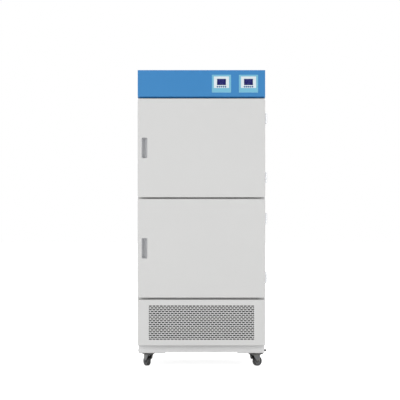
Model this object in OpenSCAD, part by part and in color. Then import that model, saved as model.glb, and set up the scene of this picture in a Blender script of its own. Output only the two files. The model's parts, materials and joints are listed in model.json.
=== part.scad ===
// Incubator with two chambers one above the other, each behind its own insulated door.
// A machine compartment sits below them behind a slotted panel, and the controls above.
// Units are millimetres. The door faces look along -Y, +X is the hinge side and +Z is up.

/* [Cabinet] */
// Width of the cabinet, the doors and the front panels
cabinet_w = 660; // [600:5:720]
// Depth from the faces of the doors to the back panel
cabinet_depth = 620; // [590:5:700]
// Thickness of the folded sheet steel
sheet_t = 1.5; // [1:0.1:2]
// Thickness of the insulated side walls
wall_t = 60; // [54:1:70]
// Thickness of the insulation under the lower and over the upper chamber
end_wall_t = 60; // [50:1:70]
// Thickness of the insulated back wall, with the back panel
back_wall_t = 60; // [52:1:70]
// Width of the folded flanges that carry the back panel
flange_w = 16; // [12:1:24]

/* [Doors] */
// Height of each door
door_h = 511.5; // [480:0.5:540]
// Thickness of a door without its gasket
door_t = 50; // [40:1:60]
// Corner radius of the door faces
door_corner_r = 8; // [4:0.5:14]
// Radius of the folds round the faces of the doors and panels
fold_r = 2.5; // [1.6:0.1:3]
// Gap between the upper and the lower door
door_gap = 8.5; // [6:0.5:14]
// Thickness of the door's inner pan
door_liner_t = 2; // [1.5:0.1:3]
// Depth of the dish in the door's inner pan
dish_depth = 25; // [22:1:32]
// Width of the magnetic gasket
gasket_w = 16; // [12:1:20]
// Height of the magnetic gasket, from the door to the cabinet
gasket_t = 10; // [8:0.5:12]
// Distance from the door's edge to its gasket
gasket_inset = 6; // [4:0.5:8]

/* [Handles] */
// Width of the finger recess in a door's face
handle_w = 29; // [24:1:36]
// Height of the finger recess
handle_h = 106; // [90:1:130]
// Depth of the finger recess
handle_depth = 28; // [20:1:34]
// How far the recess reaches behind its outer lip
handle_undercut = 8; // [4:0.5:12]
// Distance from the door's free edge to the recess
handle_edge = 22.5; // [18:0.5:30]
// Wall of the moulded recess cup
cup_t = 2; // [1.5:0.1:3]

/* [Door hinges] */
// Height of a hinge
hinge_h = 57; // [45:1:70]
// Distance from a door's top or bottom edge to the middle of its hinge
hinge_edge = 103; // [70:1:140]
// Radius of a hinge knuckle
knuckle_r = 5.3; // [4.5:0.1:5.5]
// Radius of a hinge pin
hinge_pin_r = 2.5; // [2:0.1:3]
// Thickness of a hinge leaf
leaf_t = 2.5; // [2:0.1:3]
// Length of a hinge leaf along the door's side
leaf_l = 36; // [26:1:38]

/* [Chambers] */
// Distance in height from a door's edge to the mouth of its chamber
mouth_margin = 41.5; // [38:0.5:48]
// Corner radius of the liners
liner_r = 15; // [10:1:20]
// Thickness of the stainless liners
liner_t = 1.2; // [1:0.1:1.5]
// Width of the liner's lip on the cabinet's front
liner_lip = 8; // [5:0.5:8]
// Depth of the air duct behind a chamber's rear cover
duct_depth = 70; // [66:1:74]

/* [Glass doors] */
// Thickness of the inner glass doors
glass_t = 5; // [4:0.5:5]
// How far the glass laps over the mouth at each side
glass_lap_x = 13; // [10:0.5:14]
// How far the glass laps over the mouth at the top and bottom
glass_lap_z = 8.75; // [7:0.25:9]
// Radius of a glass door's pivot pin
glass_pin_r = 2; // [1.5:0.1:2.2]
// Radius of the glass door's knob
knob_r = 11; // [9:0.5:12]

/* [Shelves] */
// Diameter of a shelf's frame wire
rail_d = 6; // [5:0.5:8]
// Diameter of a shelf's cross wires
wire_d = 3.2; // [2.5:0.1:4]
// Number of cross wires in a shelf
wire_count = 23; // [15:2:31]
// Gap between the shelves and the rear cover
shelf_back_gap = 18; // [12:1:40]
// Distance from the cabinet's front to a shelf
shelf_setback = 32; // [30:1:36]
// Height of a chamber's low shelf over its floor
low_shelf_h = 120; // [100:2:130]
// Distance between the low and the high shelf
shelf_step = 142; // [120:2:150]
// Width of a shelf upright
upright_w = 22; // [16:1:28]
// Depth of a shelf upright, out from the wall
upright_d = 5; // [4:0.5:5]
// Pitch of the slots in a shelf upright
upright_pitch = 20; // [16:1:24]
// Distance from an upright's ends to the chamber's floor and ceiling
upright_end = 28; // [20:1:36]

/* [Air flow] */
// Diameter of a chamber fan
fan_d = 116; // [90:2:120]
// Diameter of the condenser fan
condenser_fan_d = 172; // [140:2:176]
// Number of blades of each fan
blade_count = 5; // [3:1:7]
// Pitch of a fan's blades, in degrees
blade_pitch = 32; // [22:1:38]
// Radius of a fan motor's shaft
shaft_r = 3; // [2.5:0.1:4]
// Gap for condensate under a chamber's rear cover
drain_gap = 3; // [2.5:0.1:5]
// Pitch of an evaporator's fins
fin_pitch = 12; // [8:1:20]

/* [Control panel] */
// Height of the control panel
fascia_h = 143; // [130:1:160]
// Gap between the control panel and the upper door
fascia_gap = 4; // [3:0.5:8]
// Height of the sloping lip along the control panel's lower edge
fascia_lip_h = 6; // [3:0.5:10]
// How far that lip runs back
fascia_lip_d = 16; // [6:1:24]
// Width of a controller's face
controller_w = 99.6; // [90:0.2:110]
// Height of a controller's face
controller_h = 92.4; // [80:0.2:100]
// Distance between the middles of the two controllers
controller_pitch = 139.8; // [125:0.2:150]
// Distance from the panel's hinge-side edge to the right controller's middle
controller_edge = 86.5; // [70:0.1:110]
// Distance from the panel's lower edge to the controllers' middle
controller_rise = 72.3; // [66:0.1:78]
// How far a controller's face stands out from the panel
bezel_t = 3; // [2:0.5:5]
// Width of a display
display_w = 45.5; // [40:0.5:50]
// Height of a display
display_h = 31.6; // [26:0.1:34]
// Diameter of a key
key_d = 5.6; // [4:0.1:7]
// Pitch of the keys
key_pitch = 10.3; // [9:0.1:12]
// Travel of a key
key_travel = 0.8; // [0.5:0.1:1.2]

/* [Slotted panel] */
// Height of the slotted panel
panel_h = 237.5; // [220:0.5:260]
// Corner radius of the slotted panel
panel_corner_r = 4; // [3.5:0.5:8]
// Least distance from the panel's sides to its slots
slot_margin_x = 56; // [50:1:70]
// Least distance from the panel's top and bottom to its slots
slot_margin_z = 30; // [24:1:40]
// Gap between the slotted panel and the lower door
panel_gap = 10; // [6:0.5:14]
// Length of a slot
slot_l = 15.5; // [12:0.5:17]
// Height of a slot
slot_h = 6; // [4:0.5:7]
// Pitch of the slots along a row
slot_pitch = 18.9; // [18:0.1:20]
// Pitch of the rows of slots
row_pitch = 9.5; // [8:0.1:10]

/* [Base and casters] */
// Height of the plinth
plinth_h = 39; // [34:1:50]
// How far the plinth is set in at each side
plinth_inset = 3; // [2:0.5:4]
// Thickness of the plinth's channel
plinth_t = 3; // [2:0.5:4]
// Thickness of the pads over the casters
pad_t = 5; // [3:0.5:8]
// Distance from the cabinet's sides to the casters' swivels
caster_side = 56; // [52:1:80]
// Distance from the cabinet's front to the front casters' swivels
caster_front = 48; // [46:1:60]
// Distance from the back panel to the rear casters' swivels
caster_rear = 72; // [68:1:90]
// Height of a caster
caster_h = 70; // [68:1:76]
// Diameter of a caster's wheel
wheel_d = 50; // [46:1:50]
// Width of a caster's wheel
wheel_w = 20; // [16:1:24]
// Distance from a caster's swivel to its axle
caster_trail = 22; // [18:1:26]

/* [Hidden] */
$fn = 48;

// Clearances
seat = 0.3;          // between pieces that are fixed to each other
running = 0.05;      // radial, round pins and shafts
cut = 1;             // how far a cutting shape runs past what it cuts

// Heights, from the floor up
base_z = caster_h + pad_t;
side_z = base_z + plinth_h;
panel_top_z = side_z + panel_h;
lower_door_z = panel_top_z + panel_gap;
upper_door_z = lower_door_z + door_h + door_gap;
fascia_z = upper_door_z + door_h + fascia_gap;
total_h = fascia_z + fascia_h;
door_zs = [upper_door_z, lower_door_z];
foam_floor_z = lower_door_z + mouth_margin - end_wall_t;
foam_top_z = upper_door_z + door_h - mouth_margin + end_wall_t;

// Depths, from the door faces back
land_y = door_t + gasket_t;
back_y = cabinet_depth - sheet_t;
liner_back_y = cabinet_depth - back_wall_t;
duct_y = liner_back_y - duct_depth;
half_w = cabinet_w / 2;

// Chambers
chamber_w = cabinet_w - 2 * wall_t;
chamber_h = door_h - 2 * mouth_margin;
inner_w = chamber_w - 2 * liner_t;
inner_h = chamber_h - 2 * liner_t;
inner_r = liner_r - liner_t;

// Doors and their hinges
pivot_x = half_w + 0.5 + knuckle_r;
pivot_y = door_t - 2;
hinge_zs = [door_h - hinge_edge, hinge_edge];
knuckle_l = hinge_h / 3;
dish_y = door_t - dish_depth;
dish_h = chamber_h + 11.5;
cup_x = -half_w + handle_edge + handle_w / 2;
dish_w = 2 * (half_w - handle_edge - handle_w - 6.5);

// Glass doors
glass_y = land_y - 3 - glass_t;
glass_w = chamber_w + 2 * glass_lap_x;
glass_h = chamber_h + 2 * glass_lap_z;
glass_knuckle_r = 3.9;
glass_pivot_x = glass_w / 2 + 5;
glass_pivot_y = glass_y + glass_t / 2;
clip_t = 1.3;
clip_l = 26;
clip_h = 18;
knob_x = -dish_w / 2 + knob_r + 5;
knob_l = 20;
knob_bolt_r = 3.7;

// Shelves
shelf_w = chamber_w - 2 * (liner_t + upright_d + 3);
shelf_y = land_y + shelf_setback;
shelf_depth = duct_y - shelf_back_gap - shelf_y;
shelf_heights = [low_shelf_h, low_shelf_h + shelf_step];
upright_t = 1.2;
upright_h = inner_h - 2 * upright_end;
upright_inset = 60;
upright_ys = [land_y + upright_inset, shelf_y + shelf_depth - 2.5 * upright_inset];
upright_slot = [10, 4];
clip_tongue = [12, 14, 2];

// Rear covers: the guard's wires, the air slots and the stays behind
guard_t = 2.4;
air_slot = [34, 4];
air_slot_pitch = 44;
air_slot_edge = 22;
stay_r = 7;
stay_inset = 34;
stay_rise = 62;

// Chamber fans, their motors and the evaporators
fan_rise = 90;
duct_hole_r = fan_d / 2 + 5;
hub_r = 17;
hub_l = 18;
blade_t = 1.8;
fan_y = duct_y + 6;
motor_r = 25;
motor_gap = 4;
motor_y = fan_y + hub_l + motor_gap;
motor_foot = [80, 62, 3];
motor_foot_r = 8;
motor_foot_y = liner_back_y - liner_t - seat - motor_foot[2];
coil_w = 320;
coil_h = 108;
coil_drop = 78;
coil_y = duct_y + 8;
coil_d = 46;
coil_tube_r = 4;

// Machine compartment
floor_z = side_z;
compressor_r = 72;
compressor_h = 168;
compressor_x = -half_w + 165;
compressor_y = cabinet_depth - 190;
condenser_w = 270;
condenser_h = 190;
condenser_d = 48;
condenser_foot = 12;
condenser_x = half_w - 210;
condenser_y = land_y + 50;
condenser_z = floor_z + condenser_foot;
shroud_d = 30;
condenser_fan_y = condenser_y + condenser_d + 8;
condenser_fan_z = condenser_z + condenser_h / 2;
condenser_hub_r = 24;
condenser_hub_l = 30;
condenser_motor_r = 34;
condenser_motor_l = 50;
condenser_motor_y = condenser_fan_y + condenser_hub_l + 6;
motor_stand = [52, 34];

// Control panel
fascia_mid_z = fascia_z + controller_rise;
controller_xs = [half_w - controller_edge - controller_pitch, half_w - controller_edge];
controller_case_inset = 4;
window_depth = 1.8;
key_count = 5;
inset_w = 79;
inset_h = 59.5;
inset_t = 0.4;
inset_rise = 7.6;
display_rise = 8.9;
key_rise = -15.6;
key_proud = 1.2;
key_l = 5;
key_gap = 0.2;
key_rim_r = 0.4;
front_y = -bezel_t - inset_t - key_proud;

// Slotted panel: even rows hold whole slots, odd rows end in half slots
row_count = floor((panel_h - 2 * slot_margin_z - slot_h) / row_pitch) + 1;
slots_per_row = floor((cabinet_w - 2 * slot_margin_x - slot_l) / slot_pitch) + 1;

// Casters
caster_plate_t = 2.5;
caster_plate_l = 62;
caster_plate_z = caster_h - caster_plate_t;
kingpin_r = 5;
fork_top_z = caster_plate_z - seat;
raceway_h = 6;
cheek_t = 2.2;
cheek_gap = 1.5;
axle_r = 3;
brake_x = caster_trail + 4;
brake_z = wheel_d + 7;
brake_pin_r = 2.2;
brake_eye_r = 4.4;
caster_ys = [land_y + caster_front, cabinet_depth - caster_rear];

// Mains inlet
inlet_t = 2;
inlet_x = half_w - 100;
inlet_z = floor_z + 60;
inlet_w = 48;
inlet_h = 30;
inlet_rim = 3;

// Directions in which the casters trail, as they came to rest, in degrees from +X
trail_angles = [120, 37, 108, 72];

// Everything is drawn from the middle of the cabinet's width and the faces of the doors,
// and moved here so that the origin is in the middle of the floor under the whole object.
all_lo_x = -half_w;
all_hi_x = pivot_x + knuckle_r;
all_hi_y = cabinet_depth + inlet_t;
module placed() {
  translate([-(all_lo_x + all_hi_x) / 2, -(front_y + all_hi_y) / 2, 0]) children();
}

// A box between two corners
module block(lo, hi) {
  translate(lo) cube(hi - lo);
}

// A plate parallel to the doors, from y0 back to y1, with a 2D outline in X and Z
module plate(y0, y1) {
  translate([0, y1, 0]) rotate([90, 0, 0]) linear_extrude(y1 - y0) children();
}

// A rectangle with true round corners, centred
module rounded(w, h, r) {
  square([w - 2 * r, h], center = true);
  square([w, h - 2 * r], center = true);
  for (sx = [-1, 1], sz = [-1, 1])
    translate([sx * (w / 2 - r), sz * (h / 2 - r)]) circle(r);
}

// A quarter of a disc, in the corner of the first quadrant
module quarter(r) {
  intersection() {
    circle(r);
    square(r);
  }
}

// A plate from y = 0 back to y1 whose front edge is a fold of radius e, w by h with corners r
module folded_plate(w, h, r, e, y1) {
  plate(e, y1) rounded(w, h, r);
  plate(0, e) rounded(w - 2 * e, h - 2 * e, r - e);
  for (s = [-1, 1]) {
    // Folds along the top and the bottom
    translate([-w / 2 + r, e, s * (h / 2 - e)]) rotate([90, 0, 90])
      linear_extrude(w - 2 * r) rotate(s > 0 ? 90 : 180) quarter(e);
    // Folds along the sides
    translate([s * (w / 2 - e), e, -h / 2 + r])
      linear_extrude(h - 2 * r) rotate(s > 0 ? -90 : 180) quarter(e);
    // Corners
    for (t = [-1, 1]) translate([s * (w / 2 - r), e, t * (h / 2 - r)])
      mirror([s > 0 ? 0 : 1, 0, 0]) mirror([0, 0, t > 0 ? 0 : 1])
        rotate([90, 0, 0]) rotate_extrude(angle = 90) translate([r - e, 0]) quarter(e);
  }
}

// A rounded rectangle with a smaller one taken out of it
module ring(w, h, r, wall) {
  difference() {
    rounded(w, h, r);
    rounded(w - 2 * wall, h - 2 * wall, max(r - wall, 0.5));
  }
}

// A straight slot with round ends, centred and lying along X
module slot(l, h) {
  square([l - h, h], center = true);
  for (s = [-1, 1]) translate([s * (l - h) / 2, 0]) circle(h / 2);
}

// A round bar between two points that differ along one axis only
module bar_x(x0, x1, r) {
  translate([x0, 0, 0]) rotate([0, 90, 0]) cylinder(r = r, h = x1 - x0);
}
module bar_y(y0, y1, r) {
  translate([0, y1, 0]) rotate([90, 0, 0]) cylinder(r = r, h = y1 - y0);
}

// Cabinet

module cabinet_shell() color("gainsboro") placed() difference() {
  union() {
    // Sides, top and front in one wrap
    difference() {
      block([-half_w, land_y, side_z], [half_w, back_y, total_h]);
      block([-half_w + sheet_t, land_y + sheet_t, side_z - cut],
            [half_w - sheet_t, back_y + cut, total_h - sheet_t]);
    }
    // Floor and ceiling of the insulated part
    for (z = [foam_floor_z, foam_top_z])
      block([-half_w + sheet_t, land_y + sheet_t, z], [half_w - sheet_t, back_y, z + sheet_t]);
    // Flanges for the back panel
    for (s = [-1, 1])
      block([s * (half_w - sheet_t) - (s > 0 ? flange_w : 0), back_y - sheet_t, side_z],
            [s * (half_w - sheet_t) + (s > 0 ? 0 : flange_w), back_y, total_h - sheet_t]);
    block([-half_w + sheet_t, back_y - sheet_t, total_h - sheet_t - flange_w],
          [half_w - sheet_t, back_y, total_h - sheet_t]);
  }
  // Mouths of the chambers
  for (z = door_zs) plate(land_y - cut, land_y + sheet_t + cut)
    translate([0, z + door_h / 2]) rounded(chamber_w + 2 * seat, chamber_h + 2 * seat, liner_r);
  // Open fronts of the machine and control compartments
  block([-half_w + flange_w, land_y - cut, side_z - cut],
        [half_w - flange_w, land_y + sheet_t + cut, foam_floor_z - flange_w / 2]);
  block([-half_w + flange_w, land_y - cut, foam_top_z + sheet_t + flange_w / 2],
        [half_w - flange_w, land_y + sheet_t + cut, total_h - flange_w]);
}

// A louvre's hood, pressed inwards from y = 0: it slopes down over the slot, is closed at
// both ends and open below, so that air passes and nothing is seen through it
module louvre_hood(l, h, d, t) {
  slope = (h + t) / d;
  shift = t * norm([h + t, d]) / (h + t);
  top = h / 2 + t + (cut - shift) * slope;
  translate([-l / 2, 0, 0]) rotate([90, 0, 90]) difference() {
    translate([0, 0, -t]) linear_extrude(l + 2 * t)
      polygon([[0, h / 2 + t], [0, -h / 2], [-d, -h / 2]]);
    linear_extrude(l)
      polygon([[cut, top], [cut, -h / 2 - cut], [shift - d - cut / slope, -h / 2 - cut]]);
  }
}

// The back panel: louvred over the machine compartment, with the mains inlet's cut-out
module back_panel() color("gainsboro") placed() {
  edge = 2;
  vent_x = -60;
  vent_l = 90;
  vent_h = 6;
  vent_d = 7;
  vent_bridge = 12;
  vent_rise = 44;
  vent_pitch = 14;
  vent_rows = 12;
  rib_w = 18;
  rib_pitch = 180;
  rib_end = 60;
  rib_proud = 1.5;
  plate(back_y, cabinet_depth) difference() {
    translate([0, (side_z + total_h) / 2])
      square([cabinet_w - 2 * edge, total_h - side_z - 2 * edge], center = true);
    for (i = [0:vent_rows - 1], k = [-1:1])
      translate([vent_x + k * (vent_l + vent_bridge), side_z + vent_rise + i * vent_pitch])
        square([vent_l, vent_h], center = true);
    translate([inlet_x, inlet_z])
      square([inlet_w - 2 * inlet_rim, inlet_h - 2 * inlet_rim], center = true);
  }
  for (i = [0:vent_rows - 1], k = [-1:1])
    translate([vent_x + k * (vent_l + vent_bridge), back_y, side_z + vent_rise + i * vent_pitch])
      louvre_hood(vent_l, vent_h, vent_d, sheet_t);
  // Pressed stiffening ribs over the insulated part
  for (k = [-1:1]) translate([k * rib_pitch, 0, 0])
    block([-rib_w / 2, back_y + seat, foam_floor_z + rib_end],
          [rib_w / 2, cabinet_depth + rib_proud, foam_top_z - rib_end]);
}

// The foamed insulation round the two chambers
module insulation() color("khaki") placed() difference() {
  block([-half_w + sheet_t + seat, land_y + sheet_t + seat, foam_floor_z + sheet_t + seat],
        [half_w - sheet_t - seat, back_y - sheet_t - seat, foam_top_z - seat]);
  for (z = door_zs) plate(land_y, liner_back_y + seat)
    translate([0, z + door_h / 2]) rounded(chamber_w + 2 * seat, chamber_h + 2 * seat, liner_r);
}

// A chamber's stainless liner, an open box whose lip lies on the cabinet's front
module chamber_liner(door_z) placed() difference() {
  translate([0, 0, door_z + door_h / 2]) union() {
    plate(land_y - liner_t, land_y)
      rounded(chamber_w + 2 * liner_lip, chamber_h + 2 * liner_lip, liner_r + liner_lip);
    plate(land_y - liner_t, liner_back_y) rounded(chamber_w, chamber_h, liner_r);
  }
  translate([0, 0, door_z + door_h / 2])
    plate(land_y - liner_t - cut, liner_back_y - liner_t) rounded(inner_w, inner_h, inner_r);
}
module upper_liner() color("silver") chamber_liner(upper_door_z);
module lower_liner() color("silver") chamber_liner(lower_door_z);

// The welded base: a channel all round, a floor pan and pads over the casters
module base_frame() color("lightgray") placed() {
  base_w = half_w - plinth_inset;
  pad_l = 140;
  pad_d = 84;
  lip = 25;
  vent_count = 8;
  vent_pitch = 30;
  vent = [90, 8];
  bolt_r = 5.5;
  bolt_rise = 9;
  bolt_ahead = 24;
  bolt_proud = 8;
  difference() {
    block([-base_w, land_y, base_z], [base_w, back_y, side_z]);
    block([-base_w + plinth_t, land_y + plinth_t, base_z - cut],
          [base_w - plinth_t, back_y - plinth_t, side_z - sheet_t]);
    // Air inlets in the floor pan, under the condenser
    for (i = [0:vent_count - 1])
      translate([condenser_x + (i - (vent_count - 1) / 2) * vent_pitch,
                 condenser_y + condenser_d + shroud_d + vent[0] / 2 + 7, side_z - sheet_t - cut])
        linear_extrude(sheet_t + 2 * cut) rotate(90) slot(vent[0], vent[1]);
  }
  // Lips turned in along the bottom of the channel
  difference() {
    block([-base_w + plinth_t, land_y + plinth_t, base_z],
          [base_w - plinth_t, back_y - plinth_t, base_z + plinth_t]);
    block([-base_w + plinth_t + lip, land_y + plinth_t + lip, base_z - cut],
          [base_w - plinth_t - lip, back_y - plinth_t - lip, base_z + plinth_t + cut]);
  }
  for (s = [-1, 1], y = caster_ys)
    block([min(s * (base_w - pad_l), s * base_w), y - pad_d / 2, base_z - pad_t],
          [max(s * (base_w - pad_l), s * base_w), y + pad_d / 2, base_z]);
  // Transport bolts through the sides of the channel
  for (y = caster_ys) {
    translate([-half_w, y - bolt_ahead, base_z + bolt_rise]) rotate([0, 90, 0])
      cylinder(r = bolt_r, h = plinth_inset + cut, $fn = 6);
    translate([base_w - cut, y - bolt_ahead, base_z + bolt_rise]) rotate([0, 90, 0])
      cylinder(r = bolt_r, h = bolt_proud + cut, $fn = 6);
  }
}

// Rows of staggered slots, with half slots that end every second row
module slot_field() {
  field_w = (slots_per_row - 1) * slot_pitch + slot_l;
  for (row = [0:row_count - 1]) translate([0, (row - (row_count - 1) / 2) * row_pitch]) {
    reach = (slots_per_row - 1 - row % 2) / 2;
    for (k = [-reach:reach]) translate([k * slot_pitch, 0]) slot(slot_l, slot_h);
    half_in = (slots_per_row / 2) * slot_pitch - slot_l / 2;
    half_l = max(field_w / 2 - half_in, slot_h + 0.5);
    if (row % 2 == 1) for (s = [-1, 1])
      translate([s * (half_in + half_l / 2), 0]) slot(half_l, slot_h);
  }
}

// The removable slotted panel in front of the machine compartment
module grille_panel() color("gainsboro") placed() translate([0, 0, side_z + panel_h / 2]) {
  field = [cabinet_w - 2 * panel_corner_r, panel_h - 2 * panel_corner_r];
  difference() {
    folded_plate(cabinet_w, panel_h, panel_corner_r, fold_r, land_y);
    plate(sheet_t, land_y + cut)
      rounded(cabinet_w - 2 * sheet_t, panel_h - 2 * sheet_t, panel_corner_r - sheet_t);
    plate(-cut, sheet_t + cut) square(field, center = true);
  }
  plate(0, sheet_t) difference() {
    square(field, center = true);
    slot_field();
  }
}

// Control panel

// The section of the control panel, in Y and Z
module fascia_section(in) {
  slope = norm([fascia_lip_h, fascia_lip_d]);
  lip_z = fascia_lip_h + in * (slope - fascia_lip_h) / fascia_lip_d;
  lip_y = fascia_lip_d + in * (slope - fascia_lip_d) / fascia_lip_h;
  back = land_y + (in > 0 ? cut : 0);
  top = fascia_h - in;
  r = max(fold_r - in, 0.5);
  polygon([[in, lip_z], [lip_y, in], [back, in], [back, top], [in + r, top], [in, top - r]]);
  translate([in + r, top - r]) circle(r);
}
module fascia_prism(in) {
  translate([-half_w + in, 0, fascia_z]) rotate([90, 0, 90])
    linear_extrude(cabinet_w - 2 * in) fascia_section(in);
}
module control_fascia() color("steelblue") placed() difference() {
  fascia_prism(0);
  fascia_prism(sheet_t);
  for (x = controller_xs) plate(-cut, sheet_t + cut) translate([x, fascia_mid_z])
    square([controller_w - 2 * controller_case_inset + 2 * seat,
            controller_h - 2 * controller_case_inset + 2 * seat], center = true);
}

// Two panel controllers: a face over the panel and a body behind it
module controllers() color("lightblue") placed() for (x = controller_xs)
  translate([x, 0, fascia_mid_z]) difference() {
    union() {
      plate(-bezel_t, 0) rounded(controller_w, controller_h, 3);
      plate(0, land_y - 2 * controller_case_inset)
        square([controller_w - 2 * controller_case_inset, controller_h - 2 * controller_case_inset],
               center = true);
      plate(-bezel_t - inset_t, 0) translate([0, inset_rise]) rounded(inset_w, inset_h, 2);
    }
    plate(-bezel_t - cut, -bezel_t + window_depth) translate([0, display_rise])
      square([display_w + 2 * seat, display_h + 2 * seat], center = true);
    for (i = [0:key_count - 1])
      translate([(i - (key_count - 1) / 2) * key_pitch, 0, key_rise])
        bar_y(-bezel_t - cut, front_y + key_l + key_travel + 2 * key_gap, key_d / 2 + key_gap);
  }

module displays() color("navy") placed() for (x = controller_xs)
  translate([x, 0, fascia_mid_z + display_rise])
    plate(-bezel_t, -bezel_t + window_depth - key_gap)
      square([display_w, display_h], center = true);

// A round push key with a soft front rim
module key(controller, i) color("dimgray") placed()
  translate([controller_xs[controller] + (i - (key_count + 1) / 2) * key_pitch, front_y,
             fascia_mid_z + key_rise])
    rotate([-90, 0, 0]) rotate_extrude() {
      translate([0, key_rim_r]) square([key_d / 2, key_l - key_rim_r]);
      square([key_d / 2 - key_rim_r, key_l]);
      translate([key_d / 2 - key_rim_r, key_rim_r]) circle(key_rim_r);
    }

// Machine compartment

// The hermetic compressor, hung in a plate on four rubber feet
module compressor() color("dimgray") placed() translate([compressor_x, compressor_y, floor_z]) {
  shoulder = 34;
  foot_h = 12;
  band_proud = 3;
  plate_size = [168, 124, 3];
  plate_z = foot_h + 2;
  foot_at = [74, 50];
  bolt_r = 4.5;
  grommet_r = 9;
  box_size = [30, 52, 56];
  stub_r = 4;
  stub_h = 52;
  bend_r = 16;
  difference() {
    union() {
      translate([0, 0, foot_h]) rotate_extrude() {
        square([compressor_r - shoulder, compressor_h]);
        translate([0, shoulder]) square([compressor_r, compressor_h - 2 * shoulder]);
        for (z = [shoulder, compressor_h - shoulder])
          translate([compressor_r - shoulder, z]) circle(shoulder);
        // The weld round the shell
        translate([0, compressor_h * 0.58]) square([compressor_r + band_proud, 4]);
      }
      translate([-plate_size[0] / 2, -plate_size[1] / 2, plate_z]) cube(plate_size);
    }
    for (sx = [-1, 1], sy = [-1, 1]) translate([foot_at[0] * sx, foot_at[1] * sy, plate_z - cut])
      cylinder(r = bolt_r, h = plate_size[2] + 2 * cut);
  }
  for (sx = [-1, 1], sy = [-1, 1]) translate([foot_at[0] * sx, foot_at[1] * sy, seat])
    cylinder(r = grommet_r, h = plate_z - seat);
  // Terminal box
  translate([compressor_r - 8, -box_size[1] / 2, foot_h + 46]) cube(box_size);
  // Stubs of the suction and discharge pipes
  for (s = [-1, 1]) translate([-20, 24 * s, foot_h + compressor_h - 30]) {
    cylinder(r = stub_r, h = stub_h);
    translate([-bend_r, 0, stub_h]) rotate([90, 0, 0])
      rotate_extrude(angle = 90) translate([bend_r, 0]) circle(stub_r);
  }
}

// The finned condenser with its fan shroud
module condenser() color("darkgray") placed()
  translate([condenser_x, condenser_y, condenser_z]) {
    fin_t = 1;
    pitch = 9;
    case_t = 2;
    tube_r = 4.5;
    tube_edge = 14;
    tube_pitch = 28;
    tip_gap = 4;
    back = condenser_d + shroud_d;
    fins = floor((condenser_w - 20) / pitch);
    for (i = [0:fins]) translate([-fins * pitch / 2 + i * pitch - fin_t / 2, case_t, case_t])
      cube([fin_t, condenser_d - 2 * case_t, condenser_h - 2 * case_t]);
    for (z = [tube_pitch - tip_gap:tube_pitch:condenser_h - tube_edge - tube_r],
         y = [tube_edge, condenser_d - tube_edge])
      translate([0, y, z]) bar_x(case_t - condenser_w / 2, condenser_w / 2 - case_t, tube_r);
    // End plates that stand on the floor, top and bottom plates, and the fan's shroud
    for (s = [-1, 1])
      translate([s * (condenser_w - case_t) / 2 - case_t / 2, 0, seat - condenser_foot])
        cube([case_t, back, condenser_h + condenser_foot - seat]);
    for (z = [0, condenser_h - case_t]) translate([-condenser_w / 2, 0, z])
      cube([condenser_w, back, case_t]);
    translate([0, 0, condenser_h / 2]) plate(back - case_t, back) difference() {
      square([condenser_w, condenser_h], center = true);
      circle(condenser_fan_d / 2 + tip_gap);
    }
  }

// An axial fan that turns about Y, its hub bored for the motor's shaft
module axial_fan(d, hub, l) {
  chord = d * 0.3;
  rotate([-90, 0, 0]) difference() {
    union() {
      cylinder(r = hub, h = l);
      intersection() {
        for (i = [0:blade_count - 1]) rotate(i * 360 / blade_count)
          translate([hub - 2, 0, l / 2]) rotate([blade_pitch, 0, 0])
            translate([0, -chord / 2, -blade_t / 2]) cube([d / 2 - hub + 8, chord, blade_t]);
        cylinder(r = d / 2, h = l);
      }
    }
    translate([0, 0, -cut]) cylinder(r = shaft_r + running, h = l + 2 * cut);
  }
}
module chamber_fan(door_z) placed()
  translate([0, fan_y, door_z + door_h / 2 + fan_rise]) axial_fan(fan_d, hub_r, hub_l);
module upper_fan() color("white") chamber_fan(upper_door_z);
module lower_fan() color("white") chamber_fan(lower_door_z);
module condenser_fan() color("dimgray") placed()
  translate([condenser_x, condenser_fan_y, condenser_fan_z])
    axial_fan(condenser_fan_d, condenser_hub_r, condenser_hub_l);

// Motors of the three fans, each with its shaft and its foot
module fan_motors() color("gray") placed() {
  for (z = door_zs) translate([0, 0, z + door_h / 2 + fan_rise]) {
    bar_y(motor_y, motor_foot_y, motor_r);
    bar_y(fan_y + 2, motor_y, shaft_r);
    plate(motor_foot_y, motor_foot_y + motor_foot[2])
      rounded(motor_foot[0], motor_foot[1], motor_foot_r);
  }
  translate([condenser_x, 0, condenser_fan_z]) {
    stand_y = condenser_motor_y + (condenser_motor_l - motor_stand[1]) / 2;
    bar_y(condenser_motor_y, condenser_motor_y + condenser_motor_l, condenser_motor_r);
    bar_y(condenser_fan_y + 3, condenser_motor_y, shaft_r);
    block([-motor_stand[0] / 2, stand_y, -condenser_fan_z + floor_z + seat],
          [motor_stand[0] / 2, stand_y + motor_stand[1], -condenser_motor_r + 6]);
  }
}

// Rear covers of the chambers, with the fan guard and the air slots
module air_ducts() color("silver") placed() for (z = door_zs)
  translate([0, 0, z + door_h / 2]) {
    plate(duct_y, duct_y + liner_t) difference() {
      rounded(inner_w - 2 * seat, inner_h - 2 * seat, inner_r);
      translate([0, -inner_h / 2]) square([inner_w, 2 * drain_gap], center = true);
      // The fan's opening, behind a guard of rings and two spokes
      translate([0, fan_rise]) difference() {
        circle(duct_hole_r);
        for (r = [20:14:duct_hole_r]) difference() {
          circle(r);
          circle(r - guard_t);
        }
        for (a = [0, 90]) rotate(a) square([2 * duct_hole_r + 2, guard_t], center = true);
      }
      for (s = [-1, 1], k = [-5:5], n = [0, 1])
        translate([k * air_slot_pitch, s * (inner_h / 2 - air_slot_edge - 3 * n * air_slot[1])])
          slot(air_slot[0], air_slot[1]);
    }
    for (sx = [-1, 1], sz = [-1, 1])
      translate([sx * (inner_w / 2 - stay_inset), 0, sz * (inner_h / 2 - stay_rise)])
        bar_y(duct_y + liner_t / 2, liner_back_y - liner_t - seat, stay_r);
  }

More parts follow.
